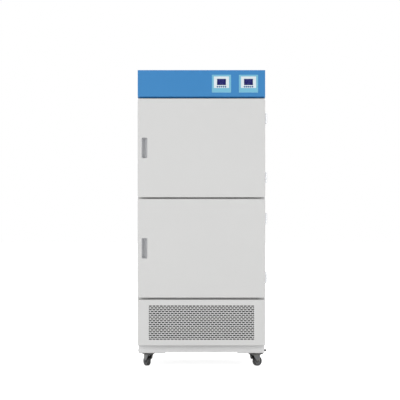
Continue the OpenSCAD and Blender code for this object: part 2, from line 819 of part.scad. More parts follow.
// Finned evaporators behind the covers
module evaporators() color("silver") placed() for (z = door_zs)
  translate([0, coil_y, z + door_h / 2 - coil_drop]) {
    fin_t = 0.8;
    end_t = 2;
    overhang = 8;
    fins = floor((coil_w - 2 * overhang) / fin_pitch);
    for (i = [0:fins])
      translate([-fins * fin_pitch / 2 + i * fin_pitch - fin_t / 2, 0, -coil_h / 2])
        cube([fin_t, coil_d, coil_h]);
    for (rise = [-1, 0, 1], y = [coil_d / 4, coil_d * 3 / 4]) translate([0, y, rise * coil_h / 3])
      bar_x(-coil_w / 2 - overhang, coil_w / 2 + overhang, coil_tube_r);
    // End plates, which reach back to the liner
    for (s = [-1, 1]) translate([s * (coil_w - end_t) / 2 - end_t / 2, 0, -coil_h / 2])
      cube([end_t, liner_back_y - liner_t - seat - coil_y, coil_h]);
  }

// Slotted uprights with the tongues that the shelves rest on
module shelf_uprights() color("silver") placed()
  for (z = door_zs, y = upright_ys, s = [-1, 1])
    translate([s * (inner_w / 2 - seat), y, z + door_h / 2 - inner_h / 2]) mirror([s > 0 ? 1 : 0, 0, 0]) {
      web_x = upright_d - upright_t;
      difference() {
        translate([0, -upright_w / 2, upright_end]) cube([upright_d, upright_w, upright_h]);
        translate([-cut, -upright_w / 2 + upright_t, upright_end - cut])
          cube([web_x + cut, upright_w - 2 * upright_t, upright_h + 2 * cut]);
        for (n = [1:floor(upright_h / upright_pitch) - 1])
          translate([web_x - cut, -upright_slot[0] / 2, upright_end + n * upright_pitch])
            cube([upright_t + 2 * cut, upright_slot[0], upright_slot[1]]);
      }
      for (h = shelf_heights)
        translate([web_x, -clip_tongue[1] / 2, h - rail_d / 2 - seat - clip_tongue[2]])
          cube([clip_tongue[0] + upright_t, clip_tongue[1], clip_tongue[2]]);
    }

// A wire shelf: a frame of thick wire and thin wires laid over it, front to back
module wire_shelf(door_z, level) placed() {
  top = door_z + mouth_margin + liner_t + shelf_heights[level];
  reach = shelf_w / 2 - rail_d / 2;
  r = rail_d / 2;
  ends = [shelf_y + r, shelf_y + shelf_depth - r];
  translate([0, 0, top]) {
    for (s = [-1, 1]) translate([s * reach, 0, 0]) bar_y(ends[0], ends[1], r);
    for (y = [ends[0], (ends[0] + ends[1]) / 2, ends[1]]) translate([0, y, 0]) bar_x(-reach, reach, r);
    for (s = [-1, 1], y = ends) translate([s * reach, y, 0]) sphere(r);
    step = 2 * reach / (wire_count + 1);
    for (k = [1:wire_count]) translate([-reach + k * step, 0, r + wire_d / 2 - 0.8])
      bar_y(ends[0] - r, ends[1] + r, wire_d / 2);
  }
}
module upper_chamber_low_shelf() color("silver") wire_shelf(upper_door_z, 0);
module upper_chamber_high_shelf() color("silver") wire_shelf(upper_door_z, 1);
module lower_chamber_low_shelf() color("silver") wire_shelf(lower_door_z, 0);
module lower_chamber_high_shelf() color("silver") wire_shelf(lower_door_z, 1);

// Doors

// Outline of the moulded recess, grown by a margin
module cup_outline(grow) {
  rounded(handle_w + 2 * grow, handle_h + 2 * grow, 5 + grow);
}

// The door's outer pan, open at the back, with the hole for the recess
module door_shell(door_z) placed() translate([0, 0, door_z + door_h / 2]) difference() {
  folded_plate(cabinet_w, door_h, door_corner_r, fold_r, door_t);
  plate(sheet_t, door_t + cut)
    rounded(cabinet_w - 2 * sheet_t, door_h - 2 * sheet_t, door_corner_r - sheet_t);
  plate(-cut, sheet_t + cut) translate([cup_x, 0]) cup_outline(seat);
}
module upper_door_shell() color("gainsboro") door_shell(upper_door_z);
module lower_door_shell() color("gainsboro") door_shell(lower_door_z);

// The door's inner pan, dished to clear the glass door and its knob
module door_liner(door_z) placed() translate([0, 0, door_z + door_h / 2]) difference() {
  union() {
    plate(door_t - door_liner_t, door_t)
      rounded(cabinet_w - 2 * (sheet_t + seat), door_h - 2 * (sheet_t + seat),
              door_corner_r - sheet_t - seat);
    plate(dish_y - door_liner_t, door_t)
      rounded(dish_w + 2 * door_liner_t, dish_h + 2 * door_liner_t, 12 + door_liner_t);
  }
  plate(dish_y, door_t + cut) rounded(dish_w, dish_h, 12);
}
module upper_door_liner() color("whitesmoke") door_liner(upper_door_z);
module lower_door_liner() color("whitesmoke") door_liner(lower_door_z);

// The magnetic gasket: a base, a narrow bellows and a wide head
module door_gasket(door_z) placed() translate([0, 0, door_z + door_h / 2]) {
  w = cabinet_w - 2 * gasket_inset;
  h = door_h - 2 * gasket_inset;
  plate(door_t, door_t + 2.5) ring(w, h, 8, gasket_w);
  plate(door_t + 2.5, door_t + gasket_t - 3.5) ring(w - 6, h - 6, 6, gasket_w - 6);
  plate(door_t + gasket_t - 3.5, door_t + gasket_t - seat) ring(w - 2, h - 2, 7, gasket_w - 2);
}
module upper_door_gasket() color("dimgray") door_gasket(upper_door_z);
module lower_door_gasket() color("dimgray") door_gasket(lower_door_z);

// The moulded finger recess, which reaches behind its outer lip
module handle_cup(door_z) placed() translate([cup_x, 0, door_z + door_h / 2]) difference() {
  union() {
    plate(0, handle_depth + cup_t) cup_outline(0);
    plate(sheet_t + seat, handle_depth + cup_t) translate([-handle_undercut / 2, 0])
      rounded(handle_w + handle_undercut, handle_h, 5);
  }
  plate(-cut, handle_depth) cup_outline(-cup_t);
  plate(sheet_t + seat + cup_t, handle_depth) translate([-handle_undercut / 2, 0])
    rounded(handle_w + handle_undercut - 2 * cup_t, handle_h - 2 * cup_t, 5 - cup_t);
}
module upper_handle_cup() color("silver") handle_cup(upper_door_z);
module lower_handle_cup() color("silver") handle_cup(lower_door_z);

// The leaves on the doors: a plate on the door's side and the middle knuckle
module door_hinge_leaves(door_z) placed() for (z = hinge_zs) translate([0, 0, door_z + z])
  difference() {
    union() {
      block([half_w, pivot_y - 5 - leaf_l, -hinge_h / 2], [half_w + leaf_t, pivot_y - 5, hinge_h / 2]);
      block([half_w, pivot_y - 5 - cut, -knuckle_l / 2 + seat],
            [half_w + leaf_t, pivot_y, knuckle_l / 2 - seat]);
      translate([pivot_x, pivot_y, -knuckle_l / 2 + seat])
        cylinder(r = knuckle_r, h = knuckle_l - 2 * seat);
    }
    translate([pivot_x, pivot_y, -hinge_h / 2])
      cylinder(r = hinge_pin_r + running, h = hinge_h);
  }
module upper_door_hinges() color("lightgray") door_hinge_leaves(upper_door_z);
module lower_door_hinges() color("lightgray") door_hinge_leaves(lower_door_z);

// The leaves on the cabinet with their pins, and the pivots of the glass doors
module hinge_brackets() color("lightgray") placed() {
  for (door_z = door_zs, z = hinge_zs) translate([0, 0, door_z + z]) {
    block([half_w, land_y, -hinge_h / 2], [half_w + leaf_t, land_y + leaf_l, hinge_h / 2]);
    block([half_w + seat, pivot_y + 5, -hinge_h / 2], [half_w + leaf_t, land_y + cut, hinge_h / 2]);
    for (s = [-1, 1]) translate([0, 0, s * knuckle_l]) {
      block([half_w + seat, pivot_y, -knuckle_l / 2], [half_w + leaf_t, pivot_y + 5 + cut, knuckle_l / 2]);
      translate([pivot_x, pivot_y, -knuckle_l / 2]) cylinder(r = knuckle_r, h = knuckle_l);
    }
    translate([pivot_x, pivot_y, -hinge_h / 2]) cylinder(r = hinge_pin_r, h = hinge_h);
  }
  for (door_z = door_zs, s = [-1, 1]) translate([0, 0, door_z + door_h / 2 + s * (glass_h / 2 + 5)]) {
    block([glass_pivot_x - 5, glass_y - 1.5, -3.5], [glass_pivot_x + 5, land_y, 3.5]);
    translate([glass_pivot_x, glass_pivot_y, s > 0 ? -14 : 0]) cylinder(r = glass_pin_r, h = 14);
  }
}

// The inner glass doors
module glass_door(door_z) placed() translate([0, 0, door_z + door_h / 2])
  plate(glass_y, glass_y + glass_t) difference() {
    rounded(glass_w, glass_h, 8);
    translate([knob_x, 0]) circle(knob_bolt_r + seat);
  }
module upper_glass_door() color("lightcyan") glass_door(upper_door_z);
module lower_glass_door() color("lightcyan") glass_door(lower_door_z);

// Clips at the glass door's hinge corners, and its knob with bolt and washer
module glass_fittings(door_z) placed() translate([0, 0, door_z + door_h / 2]) {
  for (s = [-1, 1]) translate([0, 0, s * (glass_h / 2 - clip_h / 2 + 0.5)]) difference() {
    union() {
      for (y = [glass_y - 0.2 - clip_t, glass_y + glass_t + 0.2])
        block([glass_pivot_x - clip_l, y, -clip_h / 2], [glass_pivot_x, y + clip_t, clip_h / 2]);
      block([glass_w / 2 + seat, glass_y - 0.2 - clip_t, -clip_h / 2],
            [glass_pivot_x, glass_y + glass_t + 0.2 + clip_t, clip_h / 2]);
      translate([glass_pivot_x, glass_pivot_y, -clip_h / 2]) cylinder(r = glass_knuckle_r, h = clip_h);
    }
    translate([glass_pivot_x, glass_pivot_y, -clip_h / 2 - cut])
      cylinder(r = glass_pin_r + running, h = clip_h + 2 * cut);
  }
  translate([knob_x, 0, 0]) {
    translate([0, glass_y - 0.2, 0]) rotate([90, 0, 0]) rotate_extrude() {
      square([knob_r - 2, knob_l]);
      translate([0, 2]) square([knob_r, knob_l - 4]);
      for (h = [2, knob_l - 2]) translate([knob_r - 2, h]) circle(2);
    }
    bar_y(glass_y - cut, glass_y + glass_t + 0.2 + cut, knob_bolt_r);
    bar_y(glass_y + glass_t + 0.2, glass_y + glass_t + 0.2 + clip_t, 8);
  }
}
module upper_glass_fittings() color("silver") glass_fittings(upper_door_z);
module lower_glass_fittings() color("silver") glass_fittings(lower_door_z);

// Casters

// Middle of a caster's swivel
function caster_pos(i) = [(i % 2 == 0 ? -1 : 1) * (half_w - caster_side), caster_ys[floor(i / 2)], 0];

// A caster's own frame: X points along its trail, Y along its axle
module at_caster(i) {
  placed() translate(caster_pos(i)) rotate(trail_angles[i]) children();
}

// Mounting plates, each with its swivel pin and four bolts
module caster_plates() color("gray") for (i = [0:3]) placed() translate(caster_pos(i)) {
  half = caster_plate_l / 2;
  translate([-half, -half, caster_plate_z]) cube([caster_plate_l, caster_plate_l, caster_plate_t]);
  translate([0, 0, caster_plate_z - raceway_h - 5]) cylinder(r = kingpin_r, h = raceway_h + 6);
  translate([0, 0, caster_plate_z - raceway_h - 7]) cylinder(r = kingpin_r + 2.5, h = 2.6);
  for (sx = [-1, 1], sy = [-1, 1]) translate([sx * (half - 8), sy * (half - 8), caster_plate_z - 4])
    cylinder(r = 5, h = 4.5, $fn = 6);
}

// A swivel fork: the raceway, two cheeks, the axle and, in front, the brake's pin
module caster_fork(i) at_caster(i) {
  braked = i < 2;
  cheek_y = wheel_w / 2 + cheek_gap;
  deck_z = fork_top_z - raceway_h;
  difference() {
    union() {
      translate([0, 0, deck_z]) cylinder(r = 20, h = raceway_h);
      translate([0, 0, deck_z - 2]) linear_extrude(3) {
        circle(19);
        translate([0, -cheek_y - cheek_t]) square([19, 2 * (cheek_y + cheek_t)]);
      }
      for (s = [-1, 1]) translate([0, s * (cheek_y + cheek_t / 2) + cheek_t / 2, 0]) rotate([90, 0, 0])
        linear_extrude(cheek_t) {
          polygon([[-12, deck_z], [-8, deck_z - 9], [caster_trail - 9, wheel_d / 2 - 5],
                   [caster_trail + 9, wheel_d / 2 - 5], [brake_x + 5, brake_z - 2],
                   [brake_x + 3, deck_z]]);
        }
      for (s = [-1, 1]) translate([caster_trail, s * (cheek_y + cheek_t / 2), wheel_d / 2])
        rotate([90, 0, 0]) cylinder(r = 9, h = cheek_t, center = true);
    }
    translate([0, 0, deck_z - 4]) cylinder(r = kingpin_r + running, h = raceway_h + 5);
    translate([0, 0, deck_z + seat - 5.3]) cylinder(r = kingpin_r + 3, h = 4.3);
  }
  translate([caster_trail, 0, wheel_d / 2]) rotate([90, 0, 0])
    cylinder(r = axle_r, h = 2 * (cheek_y + cheek_t) + 3, center = true);
  if (braked) translate([brake_x, 0, brake_z]) rotate([90, 0, 0])
    cylinder(r = brake_pin_r, h = 2 * (cheek_y + cheek_t) + 1, center = true);
}
module front_left_fork() color("gray") caster_fork(0);
module front_right_fork() color("gray") caster_fork(1);
module rear_left_fork() color("gray") caster_fork(2);
module rear_right_fork() color("gray") caster_fork(3);

// A wheel: a tread with rounded shoulders, a dished side and a bored hub
module caster_wheel(i) at_caster(i) translate([caster_trail, 0, wheel_d / 2]) rotate([90, 0, 0])
  rotate_extrude() {
    half = wheel_w / 2;
    r = wheel_d / 2;
    translate([axle_r + running, -half - 0.8]) square([6, wheel_w + 1.6]);
    translate([axle_r + running, -half + 4]) square([r - 8, wheel_w - 8]);
    translate([r - 8, -half]) square([5, wheel_w]);
    translate([r - 4, -half + 3]) square([4, wheel_w - 6]);
    for (s = [-1, 1]) translate([r - 3, s * (half - 3)]) circle(3);
  }
module front_left_wheel() color("dimgray") caster_wheel(0);
module front_right_wheel() color("dimgray") caster_wheel(1);
module rear_left_wheel() color("dimgray") caster_wheel(2);
module rear_right_wheel() color("dimgray") caster_wheel(3);

// The brake pedal of a front caster, whose eye turns on the fork's pin over the wheel
module caster_brake(i) at_caster(i) translate([brake_x, 0, brake_z]) difference() {
  union() {
    rotate([90, 0, 0]) cylinder(r = brake_eye_r, h = wheel_w - 2, center = true);
    rotate([90, 0, 0]) linear_extrude(wheel_w - 2, center = true)
      polygon([[0, brake_eye_r - 0.5], [20, 6], [22, 3.5], [8, -1], [5, -3.5], [4, -6.2], [0, -6.2]]);
    translate([10, 0, 2.8]) rotate([0, -8, 0]) linear_extrude(2.6)
      translate([9, 0]) rounded(18, wheel_w + 8, 5);
  }
  rotate([90, 0, 0]) cylinder(r = brake_pin_r + running, h = wheel_w, center = true);
}
module front_left_brake() color("dimgray") caster_brake(0);
module front_right_brake() color("dimgray") caster_brake(1);

// The mains inlet in the back panel: a flange, a socket body and three blades
module mains_inlet() color("dimgray") placed() translate([inlet_x, 0, inlet_z]) {
  body = [inlet_w - 2 * (inlet_rim + seat), inlet_h - 2 * (inlet_rim + seat)];
  body_d = 26;
  well = [27, 19];
  well_d = 18;
  blade = [2, 5];
  blade_pitch_x = 7;
  difference() {
    union() {
      plate(cabinet_depth, cabinet_depth + inlet_t) rounded(inlet_w, inlet_h, inlet_rim);
      plate(cabinet_depth - body_d, cabinet_depth + cut) square(body, center = true);
    }
    plate(cabinet_depth - well_d, cabinet_depth + inlet_t + cut) square(well, center = true);
  }
  for (k = [-1:1]) plate(cabinet_depth - well_d - cut, cabinet_depth - inlet_rim)
    translate([k * blade_pitch_x, k == 0 ? 3 : -2]) square(blade, center = true);
}

cabinet_shell();
back_panel();
insulation();
upper_liner();
lower_liner();
base_frame();
grille_panel();
control_fascia();
controllers();
displays();
compressor();
condenser();
air_ducts();
fan_motors();
evaporators();
shelf_uprights();
hinge_brackets();
caster_plates();
mains_inlet();
upper_door_shell();
upper_door_liner();
upper_door_gasket();
upper_handle_cup();
upper_door_hinges();
upper_glass_door();
upper_glass_fittings();
lower_door_shell();
lower_door_liner();
lower_door_gasket();
lower_handle_cup();
lower_door_hinges();
lower_glass_door();
lower_glass_fittings();
upper_chamber_low_shelf();
upper_chamber_high_shelf();
lower_chamber_low_shelf();
lower_chamber_high_shelf();
upper_fan();
lower_fan();
condenser_fan();
front_left_fork();
front_right_fork();
rear_left_fork();
rear_right_fork();
front_left_wheel();
front_right_wheel();
rear_left_wheel();
rear_right_wheel();
front_left_brake();
front_right_brake();
key(0, 1);  // left_key_1
key(0, 2);  // left_key_2
key(0, 3);  // left_key_3
key(0, 4);  // left_key_4
key(0, 5);  // left_key_5
key(1, 1);  // right_key_1
key(1, 2);  // right_key_2
key(1, 3);  // right_key_3
key(1, 4);  // right_key_4
key(1, 5);  // right_key_5
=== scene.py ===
# %% [markdown]
# # A two-chamber incubator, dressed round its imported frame
#
# The cabinet is a tall box of folded steel sheet. Two insulated doors hang one above the
# other, a blue control panel closes the top, a slotted panel hides the machinery below, and
# four casters carry it all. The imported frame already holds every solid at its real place,
# so this lesson gives the solids their finishes, and replaces those whose edges and small
# forms deserve real mesh work: folded door pans, seals, controllers, keys and wheels.

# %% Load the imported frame
import json
import math

import bmesh
import bpy
from mathutils import Matrix, Vector


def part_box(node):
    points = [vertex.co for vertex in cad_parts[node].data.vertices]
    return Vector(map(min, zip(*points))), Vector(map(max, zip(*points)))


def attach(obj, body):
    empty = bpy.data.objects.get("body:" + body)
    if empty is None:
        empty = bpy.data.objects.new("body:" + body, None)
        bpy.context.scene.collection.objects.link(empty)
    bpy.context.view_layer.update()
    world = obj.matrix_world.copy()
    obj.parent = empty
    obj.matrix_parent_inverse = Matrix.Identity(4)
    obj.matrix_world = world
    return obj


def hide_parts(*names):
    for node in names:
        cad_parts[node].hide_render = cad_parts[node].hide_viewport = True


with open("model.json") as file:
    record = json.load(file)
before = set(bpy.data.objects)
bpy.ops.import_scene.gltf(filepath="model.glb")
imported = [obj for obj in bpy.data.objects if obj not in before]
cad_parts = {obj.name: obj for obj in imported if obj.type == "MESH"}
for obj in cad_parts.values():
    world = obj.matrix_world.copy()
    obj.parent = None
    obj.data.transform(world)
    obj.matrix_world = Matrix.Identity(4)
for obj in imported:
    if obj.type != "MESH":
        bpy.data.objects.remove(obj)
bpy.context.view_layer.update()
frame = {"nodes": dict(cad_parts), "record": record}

# %% [markdown]
# ## Millimetres of the cabinet
#
# A maker reads this cabinet in millimetres from the middle of its width, from the faces of
# its doors and from the floor. The frame is in metres and centred on the whole object. One
# small function turns the first into the second. It takes the middle and the face from the
# upper door's box, so it stays right if the frame is packed again.

# %% Where things are
MM = 0.001
LEVELS = ("upper", "lower")
CORNERS = ("front_left", "front_right", "rear_left", "rear_right")
door_lo, door_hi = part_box("upper_door_shell")
MIDDLE_X = (door_lo[0] + door_hi[0]) / 2
FACE_Y = door_lo[1]


def at(x, y, z):
    """Cabinet millimetres to the frame's metres."""
    return Vector((MIDDLE_X + x * MM, FACE_Y + y * MM, z * MM))


def middle_z(node):
    """Height of the middle of a node, in millimetres."""
    low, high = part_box(node)
    return (low[2] + high[2]) / 2 / MM


door_middle = {level: middle_z(level + "_door_shell") for level in LEVELS}
print("door faces at y", round(FACE_Y, 4), "middle at x", round(MIDDLE_X, 5))

# %% [markdown]
# ## The camera
#
# The photograph looks straight at the doors from far away: both sides of the cabinet are
# hidden, and its upright edges stay parallel. A long lens ten metres off does that. The
# lens follows from the width that the frame takes in at the door faces.

# %% Camera
VIEW_WIDTH, VIEW_DISTANCE, VIEW_END = 2.0704, 10.5, 60
VIEW_X, VIEW_HEIGHT = -0.01305, 0.8674
SENSOR = 36.0

camera_data = bpy.data.cameras.new("front_camera")
camera_data.sensor_width = SENSOR
camera_data.lens = SENSOR * VIEW_DISTANCE / VIEW_WIDTH
camera_data.clip_end = VIEW_END
camera = bpy.data.objects.new("front_camera", camera_data)
camera.location = (VIEW_X, FACE_Y - VIEW_DISTANCE, VIEW_HEIGHT)
camera.rotation_euler = (math.radians(90), 0, 0)
bpy.context.scene.collection.objects.link(camera)
bpy.context.scene.camera = camera
print("lens", round(camera_data.lens, 1), "mm")

# %% [markdown]
# ## Wiring materials by name
#
# Every finish here is a small network of shader nodes. Adding nodes one property at a time
# makes long listings that hide the idea. The helper below adds one node, sets its options,
# and fills or links its inputs by their names, so that a material reads as a list of steps.

# %% A helper that adds one shader node
def put(tree, kind, options=None, *in_order, **by_name):
    """Add a shader node; values go to its inputs, and sockets are linked to them."""
    made = tree.nodes.new("ShaderNode" + kind)
    for key, value in (options or {}).items():
        setattr(made, key, value)
    inputs = list(enumerate(in_order))
    inputs += [(key.replace("_", " "), value) for key, value in by_name.items()]
    for key, value in inputs:
        if isinstance(value, bpy.types.NodeSocket):
            tree.links.new(value, made.inputs[key])
        elif value is not None:
            made.inputs[key].default_value = value
    return made


def sums(tree, operation, *values):
    """One math step."""
    return put(tree, "Math", {"operation": operation}, *values).outputs[0]


def remap(tree, value, from_low, from_high, to_low, to_high):
    """Stretch one range of a value onto another, held at both ends."""
    return put(tree, "MapRange", {"clamp": True}, value, from_low, from_high,
               to_low, to_high).outputs[0]


def blend_colors(tree, factor, first, second, how="MIX"):
    """Mix two colours."""
    options = {"data_type": "RGBA", "blend_type": how, "clamp_result": True}
    made = put(tree, "Mix", options, factor)
    for index, value in ((6, first), (7, second)):
        if isinstance(value, bpy.types.NodeSocket):
            tree.links.new(value, made.inputs[index])
        else:
            made.inputs[index].default_value = value
    return made.outputs[2]


def object_place(tree):
    """Where a point lies in its own object, so that a pattern moves with the part."""
    return put(tree, "TexCoord").outputs["Object"]


def noise(tree, where, scale, detail=2.0, roughness=0.5):
    """Smooth noise around 0.5, in three dimensions."""
    return put(tree, "TexNoise", None, Vector=where, Scale=scale, Detail=detail,
               Roughness=roughness).outputs[0]


def linear(red, green, blue):
    """A colour as the eye reads it (0 to 255) turned into the shader's linear values."""
    def straight(level):
        level /= 255
        return level / 12.92 if level <= 0.04045 else ((level + 0.055) / 1.055) ** 2.4
    return (straight(red), straight(green), straight(blue), 1.0)


print("cabinet white is", [round(c, 3) for c in linear(216, 216, 216)])

# %% [markdown]
# ## Effects that several finishes share
#
# Powder coat, moulded plastic and brushed steel differ in colour, but the same few effects
# run through them: a fine surface texture, slow clouds of tone, worn edges and settled
# dust. Each effect is one node group with named inputs and outputs, built once. A group
# gives out only colours, masks, normals and values such as height and roughness, and the
# shader itself stays in the material.

# %% A helper that starts a node group
def effect(name, inputs, outputs):
    """An empty shader group with named sockets, and its two end nodes."""
    tree = bpy.data.node_groups.new(name, "ShaderNodeTree")
    for label, kind, value in inputs:
        made = tree.interface.new_socket(label, in_out="INPUT", socket_type="NodeSocket" + kind)
        made.default_value = value
    for label, kind in outputs:
        tree.interface.new_socket(label, in_out="OUTPUT", socket_type="NodeSocket" + kind)
    return tree, tree.nodes.new("NodeGroupInput").outputs, tree.nodes.new("NodeGroupOutput")


def give(tree, end, **results):
    """Link results to the group's outputs by name."""
    for key, value in results.items():
        tree.links.new(value, end.inputs[key])
    print("effect:", tree.name)


# %% [markdown]
# ### Clouded colour
#
# No painted panel is one colour all over. Its tone drifts by a percent or two over a few
# hands' widths, and the coating's grain adds a much finer speckle. Both are noise in the
# object's own space, which needs no unwrapping and stays with the part when a door swings.

# %% Clouded colour
clouded, start, end = effect("clouded_colour", [
    ("Color", "Color", (0.8, 0.8, 0.8, 1)), ("Cloud", "Float", 0.03),
    ("Speckle", "Float", 0.02), ("Speckle Scale", "Float", 900.0)], [("Color", "Color")])
here = object_place(clouded)
slow = noise(clouded, here, 3.2, 3.0)
fine = noise(clouded, here, start["Speckle Scale"], 1.0)
drift = sums(clouded, "MULTIPLY", sums(clouded, "SUBTRACT", slow, 0.5), start["Cloud"])
grit = sums(clouded, "MULTIPLY", sums(clouded, "SUBTRACT", fine, 0.5), start["Speckle"])
brightness = sums(clouded, "ADD", 1.0, sums(clouded, "ADD", drift, grit))
shade = put(clouded, "CombineColor", None, *[brightness] * 3).outputs[0]
give(clouded, end, Color=blend_colors(clouded, 1.0, start["Color"], shade, "MULTIPLY"))

# %% [markdown]
# ### Orange peel
#
# Powder coat melts into a skin of shallow dimples a millimetre or two apart, which break up
# reflections. Two sizes of noise give that height. The group also varies the roughness a
# little from place to place, because no coat melts quite evenly.

# %% Orange peel
peel, start, end = effect("orange_peel", [
    ("Scale", "Float", 650.0), ("Roughness", "Float", 0.4), ("Spread", "Float", 0.08)],
    [("Height", "Float"), ("Roughness", "Float")])
here = object_place(peel)
dimples = noise(peel, here, start["Scale"], 2.0)
waves = noise(peel, here, sums(peel, "MULTIPLY", start["Scale"], 0.22), 1.0)
height = sums(peel, "ADD", dimples, sums(peel, "MULTIPLY", waves, 0.8))
patch = sums(peel, "SUBTRACT", noise(peel, here, 9.0, 4.0), 0.5)
rough = sums(peel, "MULTIPLY_ADD", patch, start["Spread"], start["Roughness"])
give(peel, end, Height=height, Roughness=rough)

# %% [markdown]
# ### Brushed grain
#
# Stainless sheet is polished along one direction. Noise that is squeezed across that
# direction and stretched along it makes the lines. The grain can run along X, Y or Z,
# chosen by the three stretch values.

# %% Brushed grain
brushed, start, end = effect("brushed_grain", [
    ("Stretch", "Vector", (2.0, 500.0, 500.0)), ("Roughness", "Float", 0.3),
    ("Spread", "Float", 0.16)],
    [("Height", "Float"), ("Roughness", "Float"), ("Tone", "Float")])
here = object_place(brushed)
drawn = put(brushed, "VectorMath", {"operation": "MULTIPLY"}, here, start["Stretch"])
lines = noise(brushed, drawn.outputs[0], 1.0, 4.0, 0.65)
wide = noise(brushed, here, 7.0, 2.0)
rough = sums(brushed, "MULTIPLY_ADD", sums(brushed, "SUBTRACT", lines, 0.5), start["Spread"],
             start["Roughness"])
tone = remap(brushed, sums(brushed, "ADD", lines, sums(brushed, "MULTIPLY", wide, 0.5)),
             0.45, 1.05, 0.92, 1.04)
give(brushed, end, Height=lines, Roughness=rough, Tone=tone)

# %% [markdown]
# ### Worn edges
#
# Hands, trolleys and cleaning rags rub paint thin where it turns a corner. The Bevel node
# rounds the shading normal near an edge. Where that differs from the true normal there is
# an edge, and noise breaks the mask up so that the wear is patchy. The rounded normal is
# passed on too: no real edge is knife sharp, and each one should catch a thin highlight.

# %% Worn edges
edges, start, end = effect("worn_edges", [
    ("Width", "Float", 0.0012), ("Amount", "Float", 0.5)],
    [("Mask", "Float"), ("Normal", "Vector")])
here = object_place(edges)
soft = put(edges, "Bevel", {"samples": 4}, start["Width"]).outputs[0]
true = put(edges, "NewGeometry").outputs["Normal"]
same = put(edges, "VectorMath", {"operation": "DOT_PRODUCT"}, soft, true).outputs["Value"]
turned = remap(edges, sums(edges, "SUBTRACT", 1.0, same), 0.02, 0.25, 0.0, 1.0)
patchy = remap(edges, noise(edges, here, 60.0, 5.0, 0.7), 0.45, 0.62, 0.0, 1.0)
mask = sums(edges, "MULTIPLY", sums(edges, "MULTIPLY", turned, patchy), start["Amount"])
give(edges, end, Mask=mask, Normal=soft)

# %% [markdown]
# ### Painted shade in the corners
#
# Inside corners, the gap between a fork and its wheel and the space under a bolt head get
# little light. The Ambient Occlusion node measures how closed in a point is within a few
# centimetres, and the group paints a dark shade there, broken up a little by noise.

# %% Painted shade in the corners
shade_in_corners, start, end = effect("painted_corner_shade", [
    ("Reach", "Float", 0.03), ("Amount", "Float", 0.6)], [("Mask", "Float")])
here = object_place(shade_in_corners)
openness = put(shade_in_corners, "AmbientOcclusion", {"samples": 4}, Distance=start["Reach"])
closed = remap(shade_in_corners, openness.outputs["AO"], 0.25, 0.9, 1.0, 0.0)
spread = remap(shade_in_corners, noise(shade_in_corners, here, 80.0, 4.0, 0.6), 0.3, 0.6, 0.7, 1.0)
give(shade_in_corners, end, Mask=sums(shade_in_corners, "MULTIPLY", sums(shade_in_corners, "MULTIPLY", closed, spread),
                           start["Amount"]))

# %% [markdown]
# ### Settled dust
#
# Dust lies on what faces up and creeps over everything close to the floor. The first part
# comes from the normal's upward share, and the second from the height over the floor.

# %% Settled dust
dust, start, end = effect("settled_dust", [
    ("Amount", "Float", 0.3), ("Floor Reach", "Float", 0.12)], [("Mask", "Float")])
here = object_place(dust)
up = put(dust, "SeparateXYZ", None, put(dust, "NewGeometry").outputs["Normal"]).outputs["Z"]
height = put(dust, "SeparateXYZ", None, here).outputs["Z"]
lying = remap(dust, up, 0.5, 1.0, 0.0, 1.0)
low = sums(dust, "SUBTRACT", 1.0, sums(dust, "DIVIDE", height, start["Floor Reach"]))
low = sums(dust, "MULTIPLY", remap(dust, low, 0.0, 1.0, 0.0, 1.0), 0.5)
flecks = remap(dust, noise(dust, here, 34.0, 6.0, 0.7), 0.38, 0.66, 0.25, 1.0)
mask = sums(dust, "MULTIPLY", sums(dust, "MAXIMUM", lying, low), flecks)
give(dust, end, Mask=sums(dust, "MULTIPLY", mask, start["Amount"]))

# %% [markdown]
# ### Painted shade in the machine compartment
#
# Behind the slotted panel everything looks black, because the deep compartment gets little
# light. That shade is painted as a near-black colour on the faces inside the compartment.
# A box in the cabinet's own space marks those faces. The mask is 1 there and 0 on every
# outside face of the same sheet.

# %% Painted shade in the compartment
INSIDE = 0.0003                                  # how far inside the sheet the painted shade starts
shell_lo, shell_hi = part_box("cabinet_shell")
panel_lo, panel_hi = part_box("grille_panel")
shaded_lo = (shell_lo[0] + INSIDE, shell_lo[1] + INSIDE, panel_lo[2] - INSIDE / 2)
shaded_hi = (shell_hi[0] - INSIDE, shell_hi[1] + INSIDE / 2, panel_hi[2])
inside_shade, start, end = effect("painted_compartment_shade", [("Amount", "Float", 1.0)],
                            [("Mask", "Float")])
here = put(inside_shade, "SeparateXYZ", None, object_place(inside_shade)).outputs
mask = start["Amount"]
for axis, lo, hi in zip("XYZ", shaded_lo, shaded_hi):
    for above, limit in (("GREATER_THAN", lo), ("LESS_THAN", hi)):
        mask = sums(inside_shade, "MULTIPLY", mask, sums(inside_shade, above, here[axis], limit))
give(inside_shade, end, Mask=mask)

# %% [markdown]
# ### Moulded skin
#
# Plastic housings copy the fine etched texture of their mould. A cell pattern gives its
# grain, and slow noise gives the faint flow marks that change the gloss.

# %% Moulded skin
moulded, start, end = effect("moulded_skin", [
    ("Grain", "Float", 1400.0), ("Roughness", "Float", 0.45), ("Spread", "Float", 0.1)],
    [("Height", "Float"), ("Roughness", "Float")])
here = object_place(moulded)
cells = put(moulded, "TexVoronoi", None, Vector=here, Scale=start["Grain"]).outputs["Distance"]
flow = sums(moulded, "SUBTRACT", noise(moulded, here, 18.0, 3.0), 0.5)
rough = sums(moulded, "MULTIPLY_ADD", flow, start["Spread"], start["Roughness"])
give(moulded, end, Height=cells, Roughness=rough)

# %% [markdown]
# ### Wiped smears
#
# Glass and glossy panels show where a cloth went over them. Long bent streaks raise the
# roughness by a hair and leave everything else alone.

